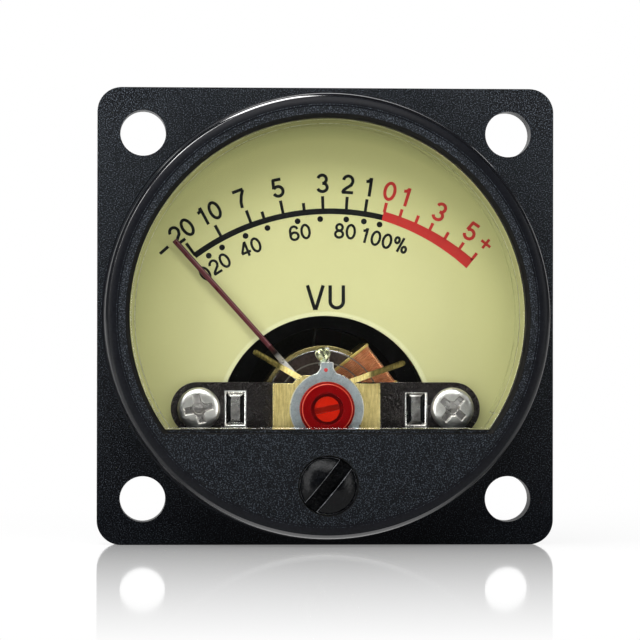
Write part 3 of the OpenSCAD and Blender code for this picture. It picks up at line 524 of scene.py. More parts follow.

# ---- Dial ----
# A satin plate of pale yellow-green plastic. Painted light stands in for the lamps shining through:
# the plate glows a little by itself and has a painted bright rim round its cut-out; painted shade
# darkens it towards its edges, most at the top. Its scale is screen-printed in black and red: two
# rows of figures along one arc.
plate = copy_of("dial_plate")
round_edges(plate, 0.12 * mm, lambda p: p.y < -1.5)
smooth(plate)
dial_skin = Finish("dial_plastic", (0.66, 0.65, 0.32))
cloud = dial_skin.specks(grain=2500.0, cloud=150.0, share=0.7)
# Painted shade: the plate's colour darkens towards its edges, most at the top.
tint = dial_skin.ramp(
    dial_skin.nearness(reach=26, height=-3.12), (0.13, (0.2, 0.2, 0.075)), (0.21, (0.42, 0.42, 0.17)),
    (0.32, (0.465, 0.46, 0.2)), (0.52, (0.485, 0.475, 0.228)), (0.75, (0.5, 0.49, 0.24)),
)
# Painted light: a bright rim round the cut-out.
near_cut = dial_skin.ramp(dial_skin.nearness(reach=20, height=-10.35), (0.456, 0.0), (0.462, 0.75))
painted_cut_rim = dial_skin.mixed(near_cut, tint, (0.6, 0.6, 0.36, 1))
mottle_with_painted_light = dial_skin.mixed(1.0, painted_cut_rim, dial_skin.ramp(cloud["Mask"], (0.3, 0.96), (0.7, 1.0)), way="MULTIPLY")
dial_skin.shade(
    Base_Color=mottle_with_painted_light,
    Roughness=dial_skin.ramp(cloud["Mask"], (0.3, 0.4), (0.7, 0.5)),
    Normal=dial_skin.bump(cloud["Fine"], 0.15, 0.004 * mm),
    Specular_IOR_Level=0.3,
    # Painted glow: the plate gives off light of its own colour, though it is no lamp.
    Emission_Color=mottle_with_painted_light,
    Emission_Strength=0.3,
)
dress(plate, dial_skin.material)
stands_for(plate, "dial_plate")

scale_middle = (0.54 * mm, -11.98 * mm)
dial_face = -1.6 * mm
ink_depth = 0.012 * mm


def ink(name, color, thin):
    """Screen ink: flat, a little thinner here and there."""
    finish = Finish(name, color)
    weave = finish.specks(grain=6000.0, cloud=900.0, share=0.4)
    return finish.shade(
        Base_Color=finish.ramp(weave["Mask"], (0.3, thin), (0.5, color)),
        Roughness=finish.ramp(weave["Mask"], (0.3, 0.6), (0.7, 0.75)),
        Specular_IOR_Level=0.12,
    )


def piece_from(name, verts, faces=(), edges=()):
    """A new piece from its corners, faces and edges."""
    mesh = bpy.data.meshes.new(name)
    mesh.from_pydata(verts, edges, faces)
    piece = bpy.data.objects.new(name, mesh)
    bpy.context.scene.collection.objects.link(piece)
    return piece


def face_outward(piece):
    """Turns the faces of a closed piece outward."""
    edit(piece)
    bpy.ops.mesh.normals_make_consistent(inside=False)
    done()


def on_dial(radius, angle, turn=None):
    """Where a print drawn in X-Y goes on the dial: its own middle at a place of the scale."""
    x, z = scale_middle
    return (
        Matrix.Translation((x, dial_face - ink_depth, z))
        @ Matrix.Rotation(math.radians(angle), 4, "Y")
        @ Matrix.Translation((0, 0, radius * mm))
        @ Matrix.Rotation(math.radians((turn if turn is not None else angle) - angle), 4, "Y")
        @ Matrix.Rotation(math.radians(90), 4, "X")
    )


def printed_shape(points):
    """A closed sheet of ink from an outline in X-Z millimetres about the scale's middle."""
    x, z = scale_middle
    corners = [(x + px * mm, dial_face, z + pz * mm) for px, pz in points]
    piece = piece_from("print", corners, [range(len(points))])
    edit(piece)
    bpy.ops.mesh.normals_make_consistent(inside=False)
    mesh_now = bmesh.from_edit_mesh(piece.data)
    if list(mesh_now.faces)[0].normal.y > 0:
        bpy.ops.mesh.flip_normals()
    bpy.ops.mesh.extrude_region_move(TRANSFORM_OT_translate={"value": (0, -ink_depth, 0)})
    done()
    return piece


def polar(radius, angle):
    """A place on the scale, its angle in degrees from upright."""
    return (radius * math.sin(math.radians(angle)), radius * math.cos(math.radians(angle)))


def band(inner, outer, start, end, steps=24):
    """A printed arc whose two radii may change from its start to its end."""
    parts = [k / steps for k in range(steps + 1)]
    low = [polar(inner[0] + (inner[1] - inner[0]) * t, start + (end - start) * t) for t in parts]
    high = [polar(outer[0] + (outer[1] - outer[0]) * t, start + (end - start) * t) for t in parts]
    return printed_shape(low + high[::-1])


def tick(angle, low, high, width=0.31):
    """A printed stroke across the scale from a low to a high radius."""
    half = math.degrees(width / 2 / high)
    return printed_shape([
        polar(low, angle - half), polar(high, angle - half),
        polar(high, angle + half), polar(low, angle + half)])


def dot(radius, angle, size=0.29, sides=20):
    """A printed round dot."""
    x, z = polar(radius, angle)
    spokes = [2 * math.pi * k / sides for k in range(sides)]
    return printed_shape([(x + size * math.sin(a), z + size * math.cos(a)) for a in spokes])


def bow(x, y, rx, ry, start, end, steps=14):
    """Points of an elliptical arc, in degrees from the right, turning either way."""
    return [(x + rx * math.cos(math.radians(start + (end - start) * k / steps)),
             y + ry * math.sin(math.radians(start + (end - start) * k / steps))) for k in range(steps + 1)]


letter_pen = 0.168
bar = 0.9375
letters = {
    "0": (bow(0, 0.5, 0.262, 0.4375, 0, 360, 28),),
    "1": (((0.09, 0), (0.09, 1)), ((0.07, 0.97), (0.03, 0.86), (-0.06, 0.79), (-0.17, 0.77))),
    "2": (bow(0, 0.675, 0.25, 0.2625, 172, -12) + [(0.17, 0.46), (-0.06, 0.3), (-0.21, 0.17), (-0.262, 0.03)],
          ((-0.3, 1 - bar), (0.3, 1 - bar))),
    "3": (bow(0, 0.715, 0.225, 0.2225, 165, -90), bow(0, 0.285, 0.255, 0.2225, 90, -165)),
    "4": (((0.12, 0), (0.12, 1)), ((0.1, 0.95), (-0.29, 0.29)), ((-0.32, 0.28), (0.32, 0.28))),
    "5": (((-0.2, bar), (0.25, bar)), ((-0.16, 0.97), (-0.215, 0.47)),
          bow(0, 0.32, 0.26, 0.2575, 142, -160)),
    "6": (bow(0, 0.3, 0.255, 0.2375, 0, 360, 24),
          bow(0.01, 0.6, 0.265, 0.3375, 25, 180) + [(-0.255, 0.34)]),
    "7": (((-0.3, bar), (0.3, bar)), ((0.28, 0.9), (0.1, 0.62), (-0.03, 0.3), (-0.07, 0))),
    "8": (bow(0, 0.73, 0.205, 0.2075, 0, 360, 22), bow(0, 0.285, 0.255, 0.2225, 0, 360, 24)),
    "%": (bow(-0.28, 0.75, 0.14, 0.1875, 0, 360, 18), bow(0.28, 0.25, 0.14, 0.1875, 0, 360, 18),
          ((0.13, 1), (-0.13, 0))),
    "+": (((-0.5, 0.5), (0.5, 0.5)), ((0, 0), (0, 1))),
    "V": (((-0.33, 1), (-0.045, 0.07)), ((0.33, 1), (0.045, 0.07)), ((-0.1, 0.045), (0.1, 0.045))),
    "U": ([(-0.275, 1)] + bow(0, 0.335, 0.275, 0.275, 180, 360) + [(0.275, 1)],),
}
letter_step = {"%": 1.1, "V": 0.84, "U": 0.95}
figure_step = 0.76
stroke_lift = 0.001 * mm


def pen_stroke(points, width):
    """A closed ribbon of even width along a line of points, square at its ends."""
    ring = points[0] == points[-1] or math.dist(points[0], points[-1]) < 1e-6
    left, right = [], []
    for k, point in enumerate(points):
        before = points[k - 1] if k else (points[-2] if ring else None)
        after = points[k + 1] if k + 1 < len(points) else (points[1] if ring else None)
        one = Vector(point) - Vector(before) if before else Vector(after) - Vector(point)
        two = Vector(after) - Vector(point) if after else one
        side = one.normalized() + two.normalized()
        side = Vector((-side.y, side.x)).normalized()
        stretch = 1 / max(0.35, side.dot(Vector((-one.y, one.x)).normalized()))
        left.append(Vector(point) + side * stretch * width / 2)
        right.append(Vector(point) - side * stretch * width / 2)
    return left, right, ring


def figures(text, height, radius, angle, squeeze=1.0, turn=None, pen=letter_pen):
    """Figures of one height drawn with an even pen, their middle on the arc."""
    steps = [letter_step.get(letter, figure_step) for letter in text]
    at = -sum(steps) / 2
    verts, faces = [], []
    for letter, step in zip(text, steps):
        for order, points in enumerate(letters[letter]):
            thickness = ink_depth / 2 + order * stroke_lift
            left, right, ring = pen_stroke(list(points), pen)
            start = len(verts)
            for point_left, point_right in zip(left, right):
                for point in (point_left, point_right):
                    for level in (-1, 1):
                        x = (at + step / 2 + point.x) * height * squeeze * mm
                        verts.append((x, (point.y - 0.5) * height * mm, level * thickness))
            for k in range(len(left) - 1):
                a, b = start + 4 * k, start + 4 * k + 4
                faces += [(a, b, b + 1, a + 1), (a + 2, a + 3, b + 3, b + 2),
                          (a + 1, b + 1, b + 3, a + 3), (a, a + 2, b + 2, b)]
            last = start + 4 * (len(left) - 1)
            if not ring:
                faces += [(start, start + 1, start + 3, start + 2),
                          (last, last + 2, last + 3, last + 1)]
        at += step
    piece = piece_from("figures", verts, faces)
    edit(piece)
    bpy.ops.mesh.remove_doubles(threshold=0.0005 * mm)
    bpy.ops.mesh.normals_make_consistent(inside=False)
    done()
    piece.data.transform(on_dial(radius, angle, turn))
    return piece


black_marks = [band((22.12, 22.08), (22.7, 22.64), -36.9, 13.2), tick(-36.7, 22.4, 23.9)]
black_marks += [tick(angle, 22.6, top) for angle, top in (
    (-28.65, 23.87), (-20.45, 23.93), (-17.0, 23.33), (-12.05, 23.93), (-6.7, 23.33), (-1.98, 23.87),
    (3.88, 23.86), (8.65, 23.84))]
black_marks += [dot(21.62, angle) for angle in (-33.9, -29.8, -22.95, -16.85, -8.75, -2.8, 4.05, 8.7, 12.9)]
level_height, percent_height = 1.86, 1.5
black_marks += [figures(text, level_height, radius, angle, squeeze=0.95) for text, radius, angle in (
    ("20", 25.12, -35.9), ("10", 25.18, -28.65))]
black_marks += [figures(text, level_height, radius, angle) for text, radius, angle in (
    ("7", 25.22, -20.8), ("5", 25.2, -12.1), ("3", 25.14, -1.95), ("2", 25.1, 3.87), ("1", 25.06, 8.6))]
black_marks += [figures(text, percent_height, radius, angle) for text, radius, angle in (
    ("0", 20.4, -37.5), ("20", 20.36, -32.6), ("40", 20.4, -22.9), ("60", 20.5, -8.6), ("80", 20.44, 3.95),
    ("100%", 20.2, 15.1))]
black_marks += [figures("VU", 2.37, 13.87, -1.65, turn=0.0, pen=0.146), tick(-41.7, 24.59, 24.9, 1.1)]
red_marks = [band((22.08, 21.5), (22.98, 22.6), 13.2, 38.75), tick(38.42, 22.45, 23.32, 0.3)]
red_marks += [tick(angle, low, high) for angle, low, high in (
    (13.35, 22.9, 23.87), (17.37, 22.85, 23.66), (21.6, 22.85, 23.62), (25.5, 22.75, 23.52),
    (29.85, 22.65, 23.44), (34.3, 22.6, 23.38))]
red_marks += [figures(text, level_height, radius, angle) for text, radius, angle in (
    ("0", 25.05, 13.5), ("1", 24.95, 17.3), ("3", 24.82, 25.75), ("5", 24.72, 34.25))]
red_marks += [figures("+", 1.12, 24.6, 38.7, pen=0.24)]
for name, marks, material in (
    ("black_print", black_marks, ink("black_ink", (0.006, 0.007, 0.007), (0.012, 0.013, 0.01))),
    ("red_print", red_marks, ink("red_ink", (0.5, 0.032, 0.028), (0.46, 0.05, 0.035))),
):
    layer = join(marks, name)
    dress(layer, material)
    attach(layer, node_body["dial_plate"])

# ---- Mounting strip and its screws ----
# A pressed steel strip in dark nickel that spans the dial's cut-out. The yoke's two tenons are
# staked through it, and two pan-head screws with cross recesses hold its ends to the can.
dark_nickel = Finish("dark_nickel", (0.1, 0.09, 0.085), metallic=1.0)
pores = dark_nickel.add("ShaderNodeTexVoronoi", Vector=dark_nickel.place, Scale=1500.0)
clouds = dark_nickel.specks(grain=7000.0, cloud=350.0, share=0.45)
dark_nickel.shade(
    Base_Color=dark_nickel.ramp(
        clouds["Mask"], (0.42, (0.05, 0.044, 0.044)), (0.57, (0.13, 0.115, 0.115)),
        (0.63, (0.45, 0.4, 0.38))),
    Roughness=dark_nickel.ramp(clouds["Mask"], (0.4, 0.36), (0.6, 0.2)),
    Normal=dark_nickel.bump(
        dark_nickel.ramp(pores.outputs["Distance"], (0.04, 0.0), (0.14, 1.0)), 0.6, 0.015 * mm),
)
# Painted highlight: a lit copy of the nickel, for edge rounds.
bright_nickel = metal(
    "bright_nickel", (1.0, 0.99, 0.97), 0.22, pits=0.012, grain=2600.0, worn=(0.5, 0.47, 0.44))
ear_middle, slot_start, slot_end, slot_half = 12.5, 8.0, 9.8, 1.6


def is_slot(p):
    """Whether a place is at one of the slots that the tenons come through."""
    return slot_start < abs(p.x) < slot_end and abs(p.z - pivot.z / mm) < slot_half


strip = copy_of("mounting_strip")
dress(strip, dark_nickel.material, bright_nickel)
round_edges(
    strip, 0.22 * mm, lambda p: p.y < -2.5 and not is_slot(p) and abs(p.x) < ear_middle, segments=4)
# Painted highlight: the rounds at the strip's ends and round its slots get the bright nickel.
round_edges(strip, 0.22 * mm, lambda p: p.y < -2.5 and abs(p.x) > ear_middle, segments=4, slot=1)
round_edges(strip, 0.34 * mm, lambda p: p.y < -2.5 and is_slot(p), segments=4, slot=1)
smooth(strip)
stands_for(strip, "mounting_strip")

mirror_nickel = metal(
    "mirror_nickel", (1.0, 0.98, 0.95), 0.28, pits=0.001, grain=2600.0, worn=(0.8, 0.78, 0.74))
# A darker nickel for the floor of the cross recess.
darker_recess_nickel = metal(
    "darker_recess_nickel", (0.55, 0.53, 0.51), 0.24, pits=0.004, grain=2600.0, worn=(0.32, 0.3, 0.29))


def spun(name, profile, steps, closed=False):
    """Spins (radius, height) millimetre pairs round the Z axis; an open profile gets a flat foot."""
    edges = [(k, k + 1) for k in range(len(profile) - 1)]
    if closed:
        edges.append((len(profile) - 1, 0))
    piece = piece_from(name, [(radius * mm, 0, height * mm) for radius, height in profile], edges=edges)
    edit(piece)
    bpy.ops.mesh.spin(steps=steps, angle=-2 * math.pi, center=(0, 0, 0), axis=(0, 0, 1))
    bpy.ops.mesh.select_all(action="SELECT")
    bpy.ops.mesh.remove_doubles(threshold=0.0005 * mm)
    if not closed:
        bpy.ops.mesh.select_mode(type="EDGE")
        bpy.ops.mesh.select_all(action="DESELECT")
        bpy.ops.mesh.select_non_manifold()
        bpy.ops.mesh.edge_face_add()
    done()
    face_outward(piece)
    return piece


def pan_head(x, turn):
    """A domed pan head with a pressed cross recess, on its shank."""
    radius, side, dome, base = 2.1, 0.5, 0.6, 2.6
    wing_reach, wing_half, wing_taper, hub_reach, recess_wall = 1.42, 0.4, 0.06, 0.72, 0.11
    recess_depth, recess_slope, slope_reach, dimple_depth, dimple_reach = 0.24, 0.26, 1.4, 0.16, 0.5
    shank_radius, shank_length, shank_middle = 0.9, 6.7, -3.3
    segments, rings = 144, 44

    def dome_height(reach):
        return side + dome * math.sqrt(max(0, 1 - (reach / radius) ** 4))

    def height(u, v):
        reach = math.hypot(u, v)
        along, beside = max(abs(u), abs(v)), min(abs(u), abs(v))
        wing_edge = max(along - wing_reach, beside - wing_half + wing_taper * along)
        inside = min(1, max(0, 0.5 - min(wing_edge, reach - hub_reach) / recess_wall))
        inside = inside * inside * (3 - 2 * inside)
        floor_depth = recess_depth + recess_slope * max(0, 1 - reach / slope_reach)
        if reach < dimple_reach:
            floor_depth += dimple_depth
        return dome_height(reach) - inside * floor_depth

    dome_profile = [(reach, dome_height(reach)) for reach in (radius * k / rings for k in range(rings + 1))]
    head = spun("ear_screw", dome_profile + [(radius, 0)], segments)
    for vert in head.data.vertices:
        if vert.co.z > side / 2 * mm:
            vert.co.z = height(vert.co.x / mm, vert.co.y / mm) * mm
    bpy.ops.object.select_all(action="DESELECT")
    bpy.ops.mesh.primitive_cylinder_add(vertices=32, radius=shank_radius * mm, depth=shank_length * mm)
    shank = bpy.context.object
    shank.data.transform(Matrix.Translation((0, 0, shank_middle * mm)))
    dress(head, mirror_nickel, darker_recess_nickel)
    # The recess floor, below the dome, gets the darker nickel.
    for face in head.data.polygons:
        reach = math.hypot(face.center.x, face.center.y) / mm
        if reach < 1.5 and face.center.z / mm < dome_height(reach) - 0.14:
            face.material_index = 1
    head = join([head, shank], "ear_screw")
    face_outward(head)
    head.data.transform(
        Matrix.Translation((x * mm, -base * mm, pivot.z))
        @ Matrix.Rotation(math.radians(turn), 4, "Y") @ Matrix.Rotation(math.radians(90), 4, "X")
    )
    smooth(head, angle=50)
    return head


screw_reach = 12.498
ear_screws = join([pan_head(-screw_reach, -12), pan_head(screw_reach, 40)], "ear_screws_piece")
stands_for(ear_screws, "ear_screws")

# ---- Hairsprings ----
# A flat bronze ribbon wound in a spiral round the front collet, its outer end soldered to the
# adjuster. It coils and uncoils as the pointer swings, the inner turns most. A second one behind
# the coil ends on the rear arm, which a phenolic washer keeps off the bridge.
coils, steps_in_turn = 4, 48
ribbon_low, ribbon_high, ribbon_thickness = 0.75 * mm, 1.25 * mm, 0.12 * mm
inner_reach, outer_reach = 1.02 * mm, 5.7 * mm
spiral = []
for step in range(coils * steps_in_turn + 1):
    part = step / (coils * steps_in_turn)
    a = math.radians(90 - 360 * coils * (1 - part))
    reach = inner_reach + (outer_reach - inner_reach) * part
    spiral.append((reach * math.cos(a), reach * math.sin(a), 0))
hairspring = drawn(
    "hairspring_piece", spiral, closed=False, dimensions="2D", extrude=(ribbon_high - ribbon_low) / 2)
apply_modifier(hairspring, "SOLIDIFY", thickness=ribbon_thickness, offset=0, use_even_offset=True)
hairspring.data.transform(
    Matrix.Translation((0, -(ribbon_low + ribbon_high) / 2, pivot.z))
    @ Matrix.Rotation(math.radians(90), 4, "X"))
face_outward(hairspring)
smooth(hairspring)
bronze_ribbon = metal("bronze_ribbon", (0.4, 0.37, 0.32), 0.3, pits=0.001, worn=(0.3, 0.27, 0.22))
dress(hairspring, bronze_ribbon)
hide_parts("front_hairspring")
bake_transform(hairspring, "adjuster", "moving_coil", start=(0, 0, pivot.z + outer_reach), end=(0, 0, pivot.z))
weights = hairspring.data.attributes["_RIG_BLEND"].data
for vert, weight in zip(hairspring.data.vertices, weights):
    reach = math.hypot(vert.co.x, vert.co.z - pivot.z)
    weight.value = min(1, max(0, (outer_reach - reach) / (outer_reach - inner_reach)))
rear_spring = copy_of("rear_hairspring")
smooth(rear_spring)
dress(rear_spring, bronze_ribbon)
stands_for(rear_spring, "rear_hairspring")
washer = copy_of("insulating_washer")
broken_edges(washer, 0.05 * mm)
dress(washer, coloured_skin("phenolic", (0.28, 0.12, 0.05), (0.36, 0.17, 0.08), 0.45))
stands_for(washer, "insulating_washer")

# ---- Front bridge ----
# A stamped brass plate on two legs, brushed up and down, with its cut edges left bright; their
# lighter, glossier brass is partly a painted highlight. Two arms bent back from its neck stop the
# pointer at each end of its swing; their much darker brass is painted shade.
brushed_brass = Finish("brushed_brass", (0.72, 0.56, 0.24), metallic=1.0)
fibres = brushed_brass.add(
    "ShaderNodeTexNoise", Vector=brushed_brass.turned(scale=(10, 10, 1.0)), Scale=500.0, Detail=5.0,
    Roughness=0.7).outputs["Fac"]
stains = brushed_brass.specks(grain=3500.0, cloud=600.0, share=0.6)
brass_mix = brushed_brass.add("ShaderNodeMix", Factor=0.7, A=stains["Mask"], B=fibres).outputs["Result"]
plate_tint = brushed_brass.ramp(brass_mix, (0.4, (0.56, 0.43, 0.15)), (0.6, (0.98, 0.82, 0.36)))
# Painted shade: the arms, deeper than the plate, get a much darker brass.
arm_painted_shade = brushed_brass.ramp(brass_mix, (0.4, (0.05, 0.04, 0.012)), (0.6, (0.19, 0.145, 0.042)))
how_deep = brushed_brass.spread(brushed_brass.axis("Y"), -3.7 * mm, -3.5 * mm)
brushed_brass.shade(
    Base_Color=brushed_brass.mixed(how_deep, plate_tint, arm_painted_shade),
    Roughness=brushed_brass.ramp(fibres, (0.35, 0.5), (0.65, 0.38)),
    Normal=brushed_brass.bump(fibres, 0.4, 0.012 * mm),
)
# Partly a painted highlight: a lighter, glossier brass for the rounds of the plate's front edges.
brass_edge = metal("brass_edge", (0.98, 0.88, 0.5), 0.22, worn=(0.75, 0.62, 0.28))
bridge = copy_of("front_bridge")
dress(bridge, brushed_brass.material, brass_edge)
round_edges(bridge, 0.09 * mm, lambda p: p.y < -3.5, segments=2, slot=1)
round_edges(bridge, 0.09 * mm, lambda p: -3.2 < p.y < -1.7, segments=2)
smooth(bridge, angle=40)
stands_for(bridge, "front_bridge")

# ---- Adjuster lever ----
# A zinc-plated steel ring under the lock nut with a lug above, marked with a dot of red paint,
# and a fork below. A bead of solder on the lug's foot holds the hairspring's end.
zinc_plate = metal(
    "zinc_plate", (0.56, 0.63, 0.66), 0.38, pits=0.012, grain=6500.0, worn=(0.34, 0.385, 0.41))
# Painted highlight: a whiter, glossier zinc for the lever's rounded edges.
zinc_edge = metal("zinc_edge", (0.97, 0.97, 0.96), 0.25, worn=(0.75, 0.76, 0.76))
lever = copy_of("adjuster_lever")
dress(lever, zinc_plate, zinc_edge)
round_edges(lever, 0.1 * mm, segments=2, slot=1)
smooth(lever, angle=40)
stands_for(lever, "adjuster_lever")

bpy.ops.object.select_all(action="DESELECT")
bpy.ops.mesh.primitive_uv_sphere_add(segments=32, ring_count=16, radius=0.5 * mm)
bead = bpy.context.object
bead_height = 5.25
bead.data.transform(
    Matrix.Translation((-0.22 * mm, -1.85 * mm, pivot.z + bead_height * mm))
    @ Matrix.Diagonal((1.3, 0.5, 1.55, 1)))
for vert in bead.data.vertices:
    above = (vert.co.z - pivot.z) / mm - bead_height
    vert.co.x *= 1 + 0.25 * math.sin(2.4 * above + 0.7)
    vert.co.y += 0.06 * mm * math.sin(7 * vert.co.x / mm + 3 * above)
bead.name = bead.data.name = "spring_solder_piece"
smooth(bead, angle=60)
dress(bead, metal(
    "soldered_bead", (0.62, 0.62, 0.4), 0.18, pits=0.02, grain=2200.0, worn=(0.24, 0.26, 0.16)))
stands_for(bead, "spring_solder")

bpy.ops.object.select_all(action="DESELECT")
bpy.ops.mesh.primitive_cylinder_add(vertices=32, radius=0.19 * mm, depth=0.03 * mm, end_fill_type="NGON")
paint_dot = bpy.context.object
paint_dot.name = paint_dot.data.name = "paint_dot"
paint_dot.data.transform(
    Matrix.Translation((-0.1 * mm, -4.86 * mm, pivot.z + 3.82 * mm))
    @ Matrix.Rotation(math.radians(90), 4, "X"))
broken_edges(paint_dot, 0.012 * mm)
dress(paint_dot, coloured_skin("red_paint", (0.55, 0.03, 0.03), (0.62, 0.06, 0.05), 0.35))
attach(paint_dot, "adjuster")

# ---- Lock nut and jewel screw ----
# A deep red moulded nut clamps the adjuster ring round the bush. Its dished middle shows the
# jewel screw, sealed with orange-red lacquer, whose slot sets the play of the coil's pivot.
def from_pivot(p):
    """How far a place in millimetres is from the pivot's axis."""
    return math.hypot(p.x, p.z - pivot.z / mm)


nut = copy_of("lock_nut")
nut_red = coloured_skin(
    "red_moulding", (0.17, 0.0004, 0.001), (0.21, 0.0006, 0.0015), 0.16, grain=1500.0, depth=0.004,
    shine=0.08)
# Painted highlight: a paler, brighter red for the rounds of the nut's outer edges.
painted_nut_highlight = coloured_skin(
    "red_moulding_painted_highlight", (0.42, 0.015, 0.01), (0.8, 0.12, 0.06), 0.15, grain=900.0, depth=0.004)
dish_radius, nut_face = 2.4, -5.5
dress(nut, nut_red, painted_nut_highlight)
round_edges(
    nut, 0.06 * mm, lambda p: p.y < nut_face and from_pivot(p) > dish_radius, segments=3, angle=25, slot=1)
round_edges(nut, 0.12 * mm, lambda p: p.y < nut_face and from_pivot(p) < dish_radius, segments=3, angle=25)
smooth(nut, angle=40)
stands_for(nut, "lock_nut")

jewel_screw = copy_of("front_jewel_screw")
# Painted shade: a darker red for the slot's walls.
painted_slot_shade = coloured_skin("slot_red_painted_shade", (0.05, 0.001, 0.001), (0.11, 0.003, 0.002), 0.35)
round_edges(jewel_screw, 0.06 * mm, lambda p: p.y < -4.5, segments=2)
orange = coloured_skin(
    "orange_lacquer", (0.5, 0.008, 0.001), (0.6, 0.016, 0.002), 0.2, grain=1200.0, shine=0.1)
slot_floor, slot_mouth, slot_reach = -4.9, -5.36, 1.2
dress(jewel_screw, orange, painted_slot_shade)
# The slot's walls get the painted shade.
for face in jewel_screw.data.polygons:
    middle = face.center / mm
    is_wall = slot_mouth < middle.y < slot_floor and abs(face.normal.y) < 0.7
    if is_wall and from_pivot(middle) < slot_reach:
        face.material_index = 1
smooth(jewel_screw, angle=40)
stands_for(jewel_screw, "front_jewel_screw")

ruby = Finish("ruby", (0.55, 0.02, 0.12), roughness=0.05)
ruby_cloud = ruby.specks(grain=1500.0, cloud=500.0, share=0.5)["Mask"]
ruby.shade(
    Base_Color=ruby.ramp(ruby_cloud, (0.3, (0.5, 0.015, 0.1)), (0.7, (0.65, 0.04, 0.17))), Coat_Weight=0.5)
for node in ("front_jewel", "rear_jewel"):
    jewel = copy_of(node)
    smooth(jewel)
    dress(jewel, ruby.material)
    stands_for(jewel, node)

# ---- Pointer ----
# A strip of thin aluminium cranked up to the dial's level, bright by its hub and lacquered
# maroon from the crank to its blunt tip. The crank's slope is painted near-black as a painted
# reflection, and the maroon has painted shade at its sides and a painted highlight line near one side.
needle = copy_of("pointer")
needle_length, wide_from, needle_half = 25, 15, 0.27
along = Vector((math.sin(rest_swing), 0, math.cos(rest_swing)))
across = Vector((along.z, 0, -along.x))
for vert in needle.data.vertices:
    out = (vert.co - pivot).dot(along) / mm
    offset = (vert.co - pivot).dot(across)
    if out > wide_from:
        vert.co += across * (math.copysign(needle_half * mm, offset) - offset)
round_edges(needle, 0.05 * mm, segments=2)
smooth(needle, angle=40)
needle_skin = Finish("pointer_lacquer", (0.1, 0.012, 0.014))
to_hub = needle_skin.nearness(needle_length, pivot.z / mm)
needle_grain = needle_skin.noise(scale=1800.0, detail=3.0)
silver_end, dark_end, maroon_start = (1 - reach / needle_length for reach in (6.7, 7.3, 8.4))
beside = needle_skin.add("ShaderNodeSeparateXYZ", Vector=needle_skin.turned(
    turn=(0, -math.degrees(rest_swing), 0), shift=(pivot.z * math.sin(rest_swing), 0, 0))).outputs["X"]
# Painted shade and highlight: the maroon darkens at both sides and has a pale line near one side.
maroon = needle_skin.ramp(
    needle_skin.spread(beside, -needle_half * mm, needle_half * mm),
    (0.0, (0.02, 0.004, 0.005)), (0.22, (0.09, 0.011, 0.015)), (0.6, (0.07, 0.009, 0.013)),
    (0.72, (0.26, 0.12, 0.13)), (0.84, (0.06, 0.009, 0.012)), (1.0, (0.02, 0.004, 0.005)))
# Painted reflection: the crank between the bare end and the maroon is near-black and not metallic.
bare_metal_and_painted_dark = needle_skin.ramp(to_hub, (dark_end, (0.02, 0.014, 0.014)), (silver_end, (1.0, 0.97, 0.94)))
needle_skin.shade(
    Base_Color=needle_skin.mixed(
        needle_skin.ramp(to_hub, (maroon_start, 1.0), (dark_end, 0.0)), bare_metal_and_painted_dark, maroon),
    Metallic=needle_skin.ramp(to_hub, (dark_end, 0.0), (silver_end, 0.55)),
    Roughness=needle_skin.ramp(needle_grain, (0.3, 0.25), (0.7, 0.4)),
    Normal=needle_skin.bump(needle_grain, 0.3, 0.01 * mm),
)
dress(needle, needle_skin.material)
stands_for(needle, "pointer")

# ---- Window lens ----
# A clear acrylic disc cut straight below, moulded in one with a rim that seats behind the
# bezel's lip and a thin skirt that holds the dial down. Its edges show as fine grey rings.
frosted = Finish("frosted_acrylic", (0.95, 0.96, 0.9))
frosted.shade(
    Transmission_Weight=0.55, IOR=1.49,
    Roughness=frosted.ramp(frosted.noise(scale=2500.0, detail=2.0), (0.4, 0.22), (0.6, 0.5)),
)
clear = Finish("clear_acrylic", (0.97, 0.985, 0.97))
clear.shade(
    Transmission_Weight=1.0, IOR=1.49,
    Roughness=clear.ramp(clear.noise(scale=260.0, detail=2.0), (0.4, 0.0), (0.75, 0.02)),
)
rays = clear.add("ShaderNodeLightPath").outputs
passing = clear.reckon("MAXIMUM", rays["Is Shadow Ray"], rays["Is Diffuse Ray"])
open_air = clear.add("ShaderNodeBsdfTransparent")
either = clear.add("ShaderNodeMixShader", Fac=passing)
clear.put(clear.shader.outputs[0], either.inputs[1])
clear.put(open_air.outputs[0], either.inputs[2])
clear.put(either.outputs[0], clear.tree.nodes["Material Output"].inputs["Surface"])
lens = copy_of("window_lens")
dress(lens, clear.material, frosted.material)
round_edges(lens, 0.12 * mm, lambda p: p.y < -7.2)
round_edges(lens, 0.1 * mm, lambda p: 18.6 < math.hypot(p.x, p.z) < 19.0, segments=2, slot=1)
smooth(lens)
stands_for(lens, "window_lens")

# ---- Front case ----
# One black ABS moulding: a square flange with four plain holes and a drafted round bezel, whose
# lower part is a flat mask over the movement. Its front has a fine grain and the bezel's front edge
# is polished, and its edges are softly rounded. Painted into its skin are glints on the grain,
# shade that deepens towards the bottom, shadow on the window's edges and a highlight on the
# flange rim's rounds that face left and down; the bezel edge's gloss is raised at its top and
# bottom as a painted highlight.
front_black = Finish("front_black", (0.01, 0.012, 0.015))
sparks = front_black.noise(scale=9000.0, detail=1.0)
dust = front_black.specks(grain=9000.0, cloud=250.0, share=0.4)["Mask"]
# Painted glints: the brightest specks of the grain are light caught by the grain, painted into the colour.
grain_and_painted_glints = front_black.ramp(
    sparks, (0.46, (0.0008, 0.0014, 0.0024)), (0.56, (0.0045, 0.006, 0.0085)), (0.67, (0.085, 0.102, 0.125)))
